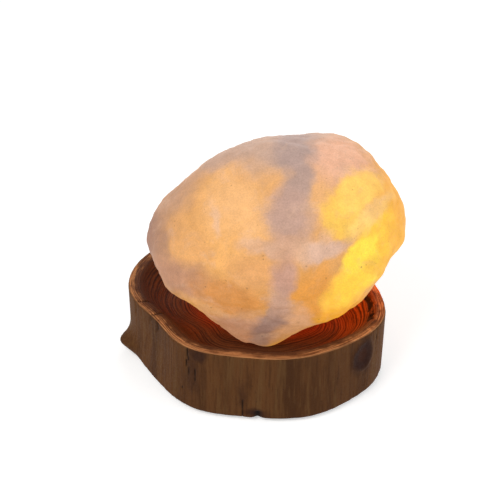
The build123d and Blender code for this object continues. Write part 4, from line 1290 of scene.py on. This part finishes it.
        # the level rim, then a slope that follows a quarter of a sine down to the floor
        slope = np.linspace(0, 1, self.slope_steps)
        rim = np.linspace(0.8, self.rim_width, self.rim_steps + 1)[:-1]
        inset = np.concatenate([rim, self.rim_width + self.dish_slope * slope])
        depth = (top - floor) * np.sin(slope * math.pi / 2)
        height = np.concatenate([np.full(self.rim_steps, top), top - depth])
        dish, dish_shade_and_bark = self.top_rings(inset, height)
        dish[-1, :, 2] = floor
        level = [between(dish[-1], hole[1], 20)[1:], between(hole[1], hole[0], 3)]
        rings = np.concatenate([*under, side, dish, *level])
        start = sum(len(part) for part in under)
        end = start + len(side)
        recess_shade_and_bark, outer = np.zeros(rings.shape[:2]), np.zeros(rings.shape[:2])
        recess_shade_and_bark[start:end], recess_shade_and_bark[end:end + len(dish)] = side_crack_shade, dish_shade_and_bark
        # the last of the underside's rings count as side, the topmost of the side's as rim
        outer[start - 2:end - 1] = 1.0
        knot = np.full(rings.shape[:2], self.unseen_knot)
        knot[start:end] = side_knot
        x, y = rings[..., 0], rings[..., 1]
        bark = np.maximum(0, self.radius(np.arctan2(y, x)) - np.hypot(x, y))
        quads = ring_quads(len(rings), self.around, closed=True)
        piece = make_mesh("trunk_slice", rings.reshape(-1, 3), quads)
        for name, values in (("recess_shade_and_bark", recess_shade_and_bark), ("bark", bark), ("side", outer), ("knot", knot)):
            set_attribute(piece, name, values)
        # the walls of the holes get a little painted shade
        drill(piece, self.bores(), {"recess_shade_and_bark": 0.15, "bark": 30.0, "side": 1.0, "knot": self.unseen_knot})
        return piece

    def bores(self) -> list[Bore]:
        """The cable inlet with the seat of its grommet, and the holes of the feet and screws.

        Returns:
            The holes.
        """
        low, high = LAMP.corners("cable_grommet") - [*LAMP.middle, 0.0]
        seat, face = low[1] - 0.05, high[1] - self.flange
        inlet = Bore((self.hollow[0], 0.0, (low[2] + high[2]) / 2), (
            (self.inlet_radius, self.hollow[1] + self.hollow_radius - 4), (self.inlet_radius, seat),
            (self.seat_radius, seat), (self.seat_radius, face),
            (self.flange_radius, face), (self.flange_radius, face + 20),
        ), level=True)
        made = [inlet]
        radius, depth = self.foot_hole
        for turn in self.foot_turns:
            angle = math.radians(turn)
            out = float(self.radius(np.array([angle]))[0]) - self.foot_inset
            place = (out * math.cos(angle), out * math.sin(angle), 0.0)
            made.append(Bore(place, ((radius, 1.0), (radius, LAMP.wood_bottom + depth))))
        for (turns, circle, radius), middle, start, end in (
                (self.cover_screws, self.hollow, self.cover_top - 1, self.cover_screw_end),
                (self.plate_screws, LAMP.lamp_axis, LAMP.ceiling - 2, self.plate_screw_end)):
            for turn in turns:
                x = middle[0] + circle * math.cos(math.radians(turn))
                y = middle[1] + circle * math.sin(math.radians(turn))
                made.append(Bore((x, y, 0.0), ((radius, start), (radius, end))))
        return made


# ---- crystal ------------------------------------------------------------------------------


@dataclass(frozen=True)
class SaltCrystal:
    """The lump of salt: broad planes blended by a power sum, hollowed, chipped and roughened.

    Attributes:
        middle, half: middle and half sizes of the ellipsoid that the planes touch, mm.
        lean: how far its summit lies from the bulb's axis in plan, mm.
        sharpness: power of the sum; more makes the edges between planes sharper.
        clearance: room between the crystal and the rim, mm.
        pocket_radius, pocket_end, pocket_taper: the pocket's radius at its mouth and its end,
            and the height over which it narrows, mm.
        headroom: room over the bulb, mm.
        around, levels: points and rings of the mesh.
        top_share: where the last ring lies on the way from the foot to the summit.
        peak_halvings, ring_halvings: steps in which the summit and the rings are found.
        faces, dish_turns, hollows, chips: the planes and what is cut from them.
        lumps, grit, pits: unevenness of the salt.
        creases: broad noise, and the depth (mm) and width of the crease where it passes zero.
    """

    middle: Triple = (17.0, 10.0, 96.0)
    half: Triple = (92.0, 75.0, 76.0)
    lean: tuple[float, float] = (6.0, -9.0)
    sharpness: float = 13.0
    clearance: float = 3.0
    pocket_radius: float = 20.0
    pocket_end: float = 10.0
    pocket_taper: float = 8.0
    headroom: float = 18.0
    around: int = 360
    levels: int = 236
    top_share: float = 0.985
    peak_halvings: int = 30
    ring_halvings: int = 20
    # broad planes: direction (degrees round, degrees up) and reach, a share of the half sizes
    faces: tuple[Triple, ...] = (
        (180, 0, 1.16), (166, 23, 0.94), (148, 42, 0.88), (129, 53, 0.88), (106, 59, 0.90),
        (90, 60, 0.92), (46, 51, 1.14), (32, 42, 1.12), (19, 29, 1.12), (4, 6, 1.24),
        (-10, -16, 0.96), (-23, -34, 0.93), (-47, -52, 0.95), (-85, -60, 1.25),
        (-143, -46, 0.94), (-168, -20, 1.03),
        (-115, 12, 1.00), (-62, 8, 1.00), (-95, 50, 1.00), (-90, -25, 1.05), (-150, 25, 1.00),
        (-28, 22, 1.07), (-40, 55, 1.08), (-140, 55, 0.96), (0, 80, 1.06),
        (100, 8, 1.00), (60, 30, 1.00), (140, 15, 1.00), (90, -35, 1.00), (25, -20, 1.00),
        (150, -35, 1.00), (35, 5, 1.00),
    )
    # directions of the low planes that slope in over the dish, degrees
    dish_turns: tuple[float, ...] = (0, 30, 60, 90, 120, 150, 180, 210, 330)
    # direction (degrees round, degrees up), depth and width as shares of the distance; a
    # negative depth is a swelling
    hollows: tuple[tuple[float, float, float, float], ...] = (
        (-12, -14, 0.030, 0.13), (-60, -57, 0.045, 0.13), (-124, -52, 0.030, 0.10),
        (-149, -40, 0.030, 0.10), (168, 19, 0.035, 0.16), (-75, 20, 0.025, 0.20),
        (-110, -15, 0.020, 0.18), (120, 25, 0.030, 0.22), (60, -5, 0.030, 0.20),
        (1, 28, 0.055, 0.14), (178, 37, 0.036, 0.13), (-162, -7, 0.022, 0.09),
        (-72, -38, 0.048, 0.10), (-14, 4, -0.034, 0.09), (18, 60, -0.024, 0.18),
        (-174, 13, -0.026, 0.13), (-147, -15, -0.024, 0.09), (-115, -42, -0.060, 0.13),
        (-98, -50, -0.030, 0.10),
    )
    chips: tuple[tuple[float, float, float, float], ...] = (
        (-16, -17, 0.022, 0.05), (-57, -50, 0.028, 0.055), (-120, -46, 0.022, 0.05),
        (-150, -34, 0.024, 0.045), (-160, -26, 0.016, 0.04), (60, 52, 0.016, 0.05),
        (28, 38, 0.014, 0.04), (10, 20, 0.012, 0.04), (152, 38, 0.014, 0.06),
        (-137, -40, 0.016, 0.035), (-35, -42, 0.014, 0.04), (100, 62, 0.012, 0.05),
        (-23, -3, 0.036, 0.05), (-107, -46, 0.020, 0.08), (-143, -21, 0.026, 0.045),
        (-167, 3, -0.014, 0.06), (2, 28, -0.012, 0.05), (-130, -32, -0.012, 0.05),
    )
    lumps: Rough = Rough(1.1, 17, 3, 71)
    grit: Rough = Rough(0.5, 5, 2, 77)
    pits: Rough = Rough(1.0, 6.5, 2, 83)
    creases: tuple[tuple[Rough, float, float], ...] = (
        (Rough(1.0, 34, 2, 91), 0.9, 0.11), (Rough(1.0, 19, 2, 97), 0.54, 0.10),
    )

    def planes(self, wood: WoodBase) -> Array:
        """Each face as its normal over its distance from the middle.

        A broad face touches the ellipsoid of the half sizes, moved out by its reach. A low
        face runs through the edge of the dish's floor and the inner edge of the rim.

        Args:
            wood: the base, whose dish the low faces follow.

        Returns:
            One row for each face.
        """
        half, middle = np.array(self.half), np.array(self.middle)
        rows = []
        for turn, lift, reach in self.faces:
            n = facing(turn, lift)
            rows.append(n / (reach * np.linalg.norm(half * n)))
        rise = LAMP.wood_top - LAMP.dish_floor
        for turn in self.dish_turns:
            out = facing(turn, 0.0)
            rim = float(wood.radius(np.radians([turn]))[0]) - wood.rim_width + self.clearance
            n = (out * rise - [0, 0, wood.dish_slope]) / math.hypot(rise, wood.dish_slope)
            edge = out * (rim - wood.dish_slope) + [0, 0, LAMP.dish_floor]
            rows.append(n / (n @ (edge - middle)))
        return np.array(rows)

    def level(self, points: Array, planes: Array) -> Array:
        """The planes' power sum over 1 minus the hollows and chips.

        Args:
            points: places, mm.
            planes: the faces' rows.

        Returns:
            Under 1 inside the crystal, over 1 outside.
        """
        v = points - self.middle
        total = (np.maximum(0, v @ planes.T) ** self.sharpness).sum(axis=-1) ** (1 / self.sharpness)
        direction = v / np.maximum(np.linalg.norm(v, axis=-1, keepdims=True), 1e-9)
        keep = np.ones(total.shape)
        for turn, lift, depth, width in self.hollows + self.chips:
            apart = ((direction - facing(turn, lift)) ** 2).sum(axis=-1)
            keep -= depth * np.exp(-apart / (2 * width**2))
        return total / keep

    def surface_rings(self, planes: Array) -> Array:
        """Rings of the plain surface, found by halving along level rays.

        Args:
            planes: the faces' rows.

        Returns:
            Rings from the foot to just under the summit.
        """
        foot, axis = LAMP.dish_floor, np.array(LAMP.lamp_axis)
        peak = axis + self.lean
        low, high = self.middle[2], self.middle[2] + 2 * self.half[2]
        for _ in range(self.peak_halvings):
            mid = (low + high) / 2
            inside = self.level(np.array([[*peak, mid]]), planes)[0] < 1
            low, high = (mid, high) if inside else (low, mid)
        share = np.linspace(0, self.top_share, self.levels)[:, None]
        height = foot + (low - foot) * (1 - np.cos(math.pi * share)) / 2
        centre = axis + (height - foot) / (low - foot) * np.array(self.lean)
        angle = whole_turn(self.around)
        near = np.zeros((self.levels, self.around))
        far = np.full_like(near, 2 * self.half[0])
        for _ in range(self.ring_halvings):
            middle = (near + far) / 2
            inside = self.level(self.on_rays(centre, height, angle, middle), planes) < 1
            near, far = np.where(inside, middle, near), np.where(inside, far, middle)
        return self.on_rays(centre, height, angle, near)

    @staticmethod
    def on_rays(centre: Array, height: Array, angle: Array, radius: Array) -> Array:
        """Points at a radius from each level's centre."""
        return polar(radius, angle, height) + np.pad(centre, ((0, 0), (0, 1)))[:, None]

    def roughened(self, rings: Array) -> Array:
        """Rings moved along the direction from the middle by lumps, creases and pits.

        A crease is where broad noise passes zero. The move fades to nothing at the foot, so
        that the crystal stands flat.

        Args:
            rings: rings of the plain surface.

        Returns:
            The moved rings.
        """
        v = rings - self.middle
        direction = v / np.linalg.norm(v, axis=-1, keepdims=True)
        raised = self.lumps.at(rings) + self.grit.at(rings) - 0.1
        for noise, depth, width in self.creases:
            raised -= depth * bell(noise.at(rings), width)
        raised -= 0.9 * smoothstep(0.45, 0.85, self.pits.at(rings))
        fade = smoothstep(0, 7, rings[..., 2] - LAMP.dish_floor)
        return rings + direction * (raised * fade)[..., None]

    def build(self, wood: WoodBase) -> bpy.types.Object:
        """The crystal as one closed mesh: summit, outside, foot and pocket.

        Args:
            wood: the base that it stands in.

        Returns:
            The piece.
        """
        outside = self.roughened(self.surface_rings(self.planes(wood)))[::-1]
        foot = outside[-1]
        top = LAMP.corners("bulb_glass")[1, 2] + self.headroom
        radii = (self.pocket_radius, self.pocket_radius, self.pocket_end)
        heights = (LAMP.dish_floor, top - self.pocket_taper, top)
        mouth, shoulder, end = (
            polar(radius, whole_turn(self.around), height) + [*LAMP.lamp_axis, 0.0]
            for radius, height in zip(radii, heights)
        )
        rings = np.concatenate([
            outside, between(foot, mouth, 5)[1:], between(mouth, shoulder, 8),
            between(shoulder, end, 3), end[None],
        ])
        summit = outside[0].mean(axis=0) + [0, 0, 0.1]
        points = np.concatenate([rings.reshape(-1, 3), [summit, [*LAMP.lamp_axis, top]]])
        count = rings.shape[0] * self.around
        first, last = np.arange(self.around), count - self.around + np.arange(self.around)
        poles = np.concatenate([fan(count, first)[:, ::-1], fan(count + 1, last)])
        quads = ring_quads(len(rings), self.around, closed=False)
        return make_mesh("crystal_lump", points, quads, poles)


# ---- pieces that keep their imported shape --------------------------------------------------


@dataclass(frozen=True)
class Fittings:
    """The holder, bulb, wiring and underside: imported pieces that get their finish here.

    Attributes:
        finishes: each finish, with the nodes that it goes on.
    """

    finishes: tuple[tuple[MouldedFinish | MetalFinish | BulbGlassFinish | HotWireFinish,
                          tuple[str, ...]], ...] = (
        (MouldedFinish("cover_plastic", (0.030, 0.028, 0.026), Sheen.MATTE, 0.12), ("bottom_cover",)),
        (MetalFinish("zinc_plate", (0.62, 0.62, 0.60), 0.32), (
            "cover_screws", "mounting_plate", "plate_screws", "holder_nipple", "nipple_nut",
            "nipple_washer", "terminal_screws", "block_screw")),
        (MouldedFinish("black_rubber", (0.020, 0.020, 0.021), Sheen.SOFT, 0.15), (
            "rubber_feet", "cable_grommet")),
        (MouldedFinish("black_phenolic", (0.022, 0.020, 0.019), Sheen.SATIN), (
            "holder_dome", "holder_skirt")),
        (MouldedFinish("white_porcelain", (0.80, 0.78, 0.72), Sheen.GLAZED, 0.03, 0.6), (
            "holder_insert",)),
        (MetalFinish("bright_brass", (0.80, 0.58, 0.24), 0.22), (
            "holder_thread", "holder_centre_contact", "holder_side_contact",
            "holder_terminal_screws", "terminal_sleeves")),
        (MetalFinish("nickel_cap", (0.66, 0.62, 0.54), 0.25), (
            "bulb_cap", "bulb_lead_wires", "filament_supports")),
        (MouldedFinish("cap_insulator", (0.015, 0.015, 0.018), Sheen.GLAZED, 0.02), (
            "bulb_cap_insulator",)),
        (MetalFinish("solder", (0.55, 0.55, 0.56), 0.35), ("bulb_centre_contact",)),
        (BulbGlassFinish(), ("bulb_glass", "bulb_stem")),
        (HotWireFinish(), ("bulb_filament",)),
        (MouldedFinish("natural_nylon", (0.74, 0.72, 0.66), Sheen.SATIN), ("terminal_block",)),
        (MouldedFinish("brown_insulation", (0.16, 0.065, 0.028), Sheen.SATIN), ("lead_live",)),
        (MouldedFinish("blue_insulation", (0.03, 0.11, 0.38), Sheen.SATIN), ("lead_neutral",)),
    )

    def dress(self) -> None:
        """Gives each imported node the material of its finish."""
        for finish, nodes in self.finishes:
            material = finish.build()
            for node in nodes:
                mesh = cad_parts[node].data
                mesh.materials.clear()
                mesh.materials.append(material)
            log.info("%s: %s", material.name, ", ".join(nodes))


# ---- studio -------------------------------------------------------------------------------


@dataclass(frozen=True)
class SoftLamp:
    """A square soft lamp: its place and width (mm), its power (W) and its colour."""

    name: str
    place: Triple
    size: float
    power: float
    colour: Colour

    def build(self, aim: Triple) -> None:
        """Puts the lamp up so that it faces a point.

        Args:
            aim: the point, mm.
        """
        data = bpy.data.lights.new(self.name, "AREA")
        data.size, data.energy, data.color = self.size * MM, self.power, self.colour
        lamp = bpy.data.objects.new(self.name, data)
        lamp.location = tuple(LAMP.place(np.array(self.place)))
        x, y, z = LAMP.place(np.array(aim)) - np.array(lamp.location)
        yaw, pitch = math.atan2(y, x), math.atan2(-z, math.hypot(x, y))
        lamp.rotation_euler = (math.pi / 2 - pitch, 0, yaw - math.pi / 2)
        bpy.context.scene.collection.objects.link(lamp)


@dataclass(frozen=True)
class Studio:
    """Pale floor, soft lamps and the camera at the photograph's place.

    Attributes:
        camera_place: the camera, mm.
        camera_drop: how far it looks down, degrees.
        lens, sensor: its focal length and the width of its sensor, mm.
        floor_radius, floor_sides: the round floor, mm, and its corners.
        floor_colour: its colour under the lamps.
        floor_fade: distances from the middle between which its own white grows, m.
        floor_levels: the strength of that white near the lamp and far away.
        world_level: the world's strength on the lamp; to the eye it is 1.
        aim: the point that the lamps face, mm.
        lamps: the soft lamps.
    """

    camera_place: Triple = (-1.0, -561.2, 410.0)
    camera_drop: float = 30.0
    lens: float = 65.772
    sensor: float = 36.0
    floor_radius: float = 1500.0
    floor_sides: int = 64
    floor_colour: Colour = (0.80, 0.80, 0.80)
    floor_fade: tuple[float, float] = (0.35, 1.3)
    floor_levels: tuple[float, float] = (0.5, 0.74)
    world_level: float = 0.32
    aim: Triple = (10.0, 0.0, 80.0)
    lamps: tuple[SoftLamp, ...] = (
        SoftLamp("key", (-450, -500, 750), 500, 4.4, (1.0, 0.98, 0.95)),
        SoftLamp("fill", (650, -350, 500), 600, 2.0, (0.95, 0.97, 1.0)),
        SoftLamp("back", (100, 700, 600), 500, 2.0, (1.0, 1.0, 1.0)),
    )

    def camera(self) -> None:
        """Camera that looks towards +Y, down by camera_drop degrees."""
        data = bpy.data.cameras.new("camera")
        data.lens = self.lens
        data.sensor_width = self.sensor
        camera = bpy.data.objects.new("camera", data)
        camera.location = tuple(LAMP.place(np.array(self.camera_place)))
        camera.rotation_euler = (math.radians(90 - self.camera_drop), 0, 0)
        bpy.context.scene.collection.objects.link(camera)
        bpy.context.scene.camera = camera

    def floor(self) -> None:
        """Round floor that looks white where it is lit and keeps the lamp's shadow."""
        ring = LAMP.place(polar(self.floor_radius, whole_turn(self.floor_sides), 0.0))
        mesh = bpy.data.meshes.new("floor")
        mesh.from_pydata(ring.tolist(), [], [tuple(range(self.floor_sides))])
        floor = bpy.data.objects.new("floor", mesh)
        bpy.context.scene.collection.objects.link(floor)
        material = bpy.data.materials.new("pale_floor")
        material.use_nodes = True
        material.node_tree.nodes.clear()
        s = Shader(material.node_tree)
        plain = s.node("ShaderNodeBsdfDiffuse", {"Color": self.floor_colour})
        away = s.vector("LENGTH", s.node("ShaderNodeTexCoord").outputs["Object"])
        level = s.step(away, *self.floor_fade, *self.floor_levels)
        lift = s.node("ShaderNodeEmission", {"Color": WHITE, "Strength": self.seen(s, level)})
        both = s.node("ShaderNodeAddShader", {0: plain.outputs[0], 1: lift.outputs[0]})
        s.node("ShaderNodeOutputMaterial", {"Surface": both.outputs[0]})
        mesh.materials.append(material)

    @staticmethod
    def seen(s: Shader, level: Value) -> Socket:
        """A level that only the eye sees: off gloss and through glass too.

        Args:
            s: a Shader.
            level: the level.

        Returns:
            The level for those rays, and 0 for the rest.
        """
        path = s.node("ShaderNodeLightPath").outputs
        total = s.math("ADD", path["Is Camera Ray"], path["Is Glossy Ray"])
        total = s.math("ADD", total, path["Is Transmission Ray"], clamp=True)
        return s.times(total, level)

    def world(self) -> None:
        """White world to the eye, and a plainer one that lights the lamp."""
        world = bpy.data.worlds.new("studio")
        bpy.context.scene.world = world
        world.use_nodes = True
        world.node_tree.nodes.clear()
        s = Shader(world.node_tree)
        level = s.math("ADD", self.seen(s, 1.0 - self.world_level), self.world_level)
        sky = s.node("ShaderNodeBackground", {"Color": WHITE, "Strength": level})
        s.node("ShaderNodeOutputWorld", {"Surface": sky.outputs[0]})

    def build(self) -> None:
        """Sets up the floor, world, lamps, camera and view."""
        self.floor()
        self.world()
        for lamp in self.lamps:
            lamp.build(self.aim)
        self.camera()
        bpy.context.scene.view_settings.view_transform = "Standard"


# ---- the lamp -----------------------------------------------------------------------------


def stand_in(piece: bpy.types.Object, node: str, body: str, material: bpy.types.Material) -> None:
    """Gives a new piece its finish and its body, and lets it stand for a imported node.

    Args:
        piece: the new piece.
        node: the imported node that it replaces.
        body: the body that it rides on.
        material: its finish.
    """
    piece.data.materials.append(material)
    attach(piece, body)
    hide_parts(node)
    log.info("%s: %d faces, rides on %s, stands for %s", piece.name, len(piece.data.polygons), body, node)


def main() -> None:
    """Builds the lamp's pieces in order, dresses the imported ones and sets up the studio."""
    logging.basicConfig(level=logging.INFO, format="%(message)s")
    Studio().build()
    wood = WoodBase()
    stand_in(wood.build(), "wood_base", "base", TrunkFinish().build())
    stand_in(SaltCrystal().build(wood), "salt_crystal", "crystal", SaltFinish().build())
    Fittings().dress()


if __name__ == "__main__":
    main()
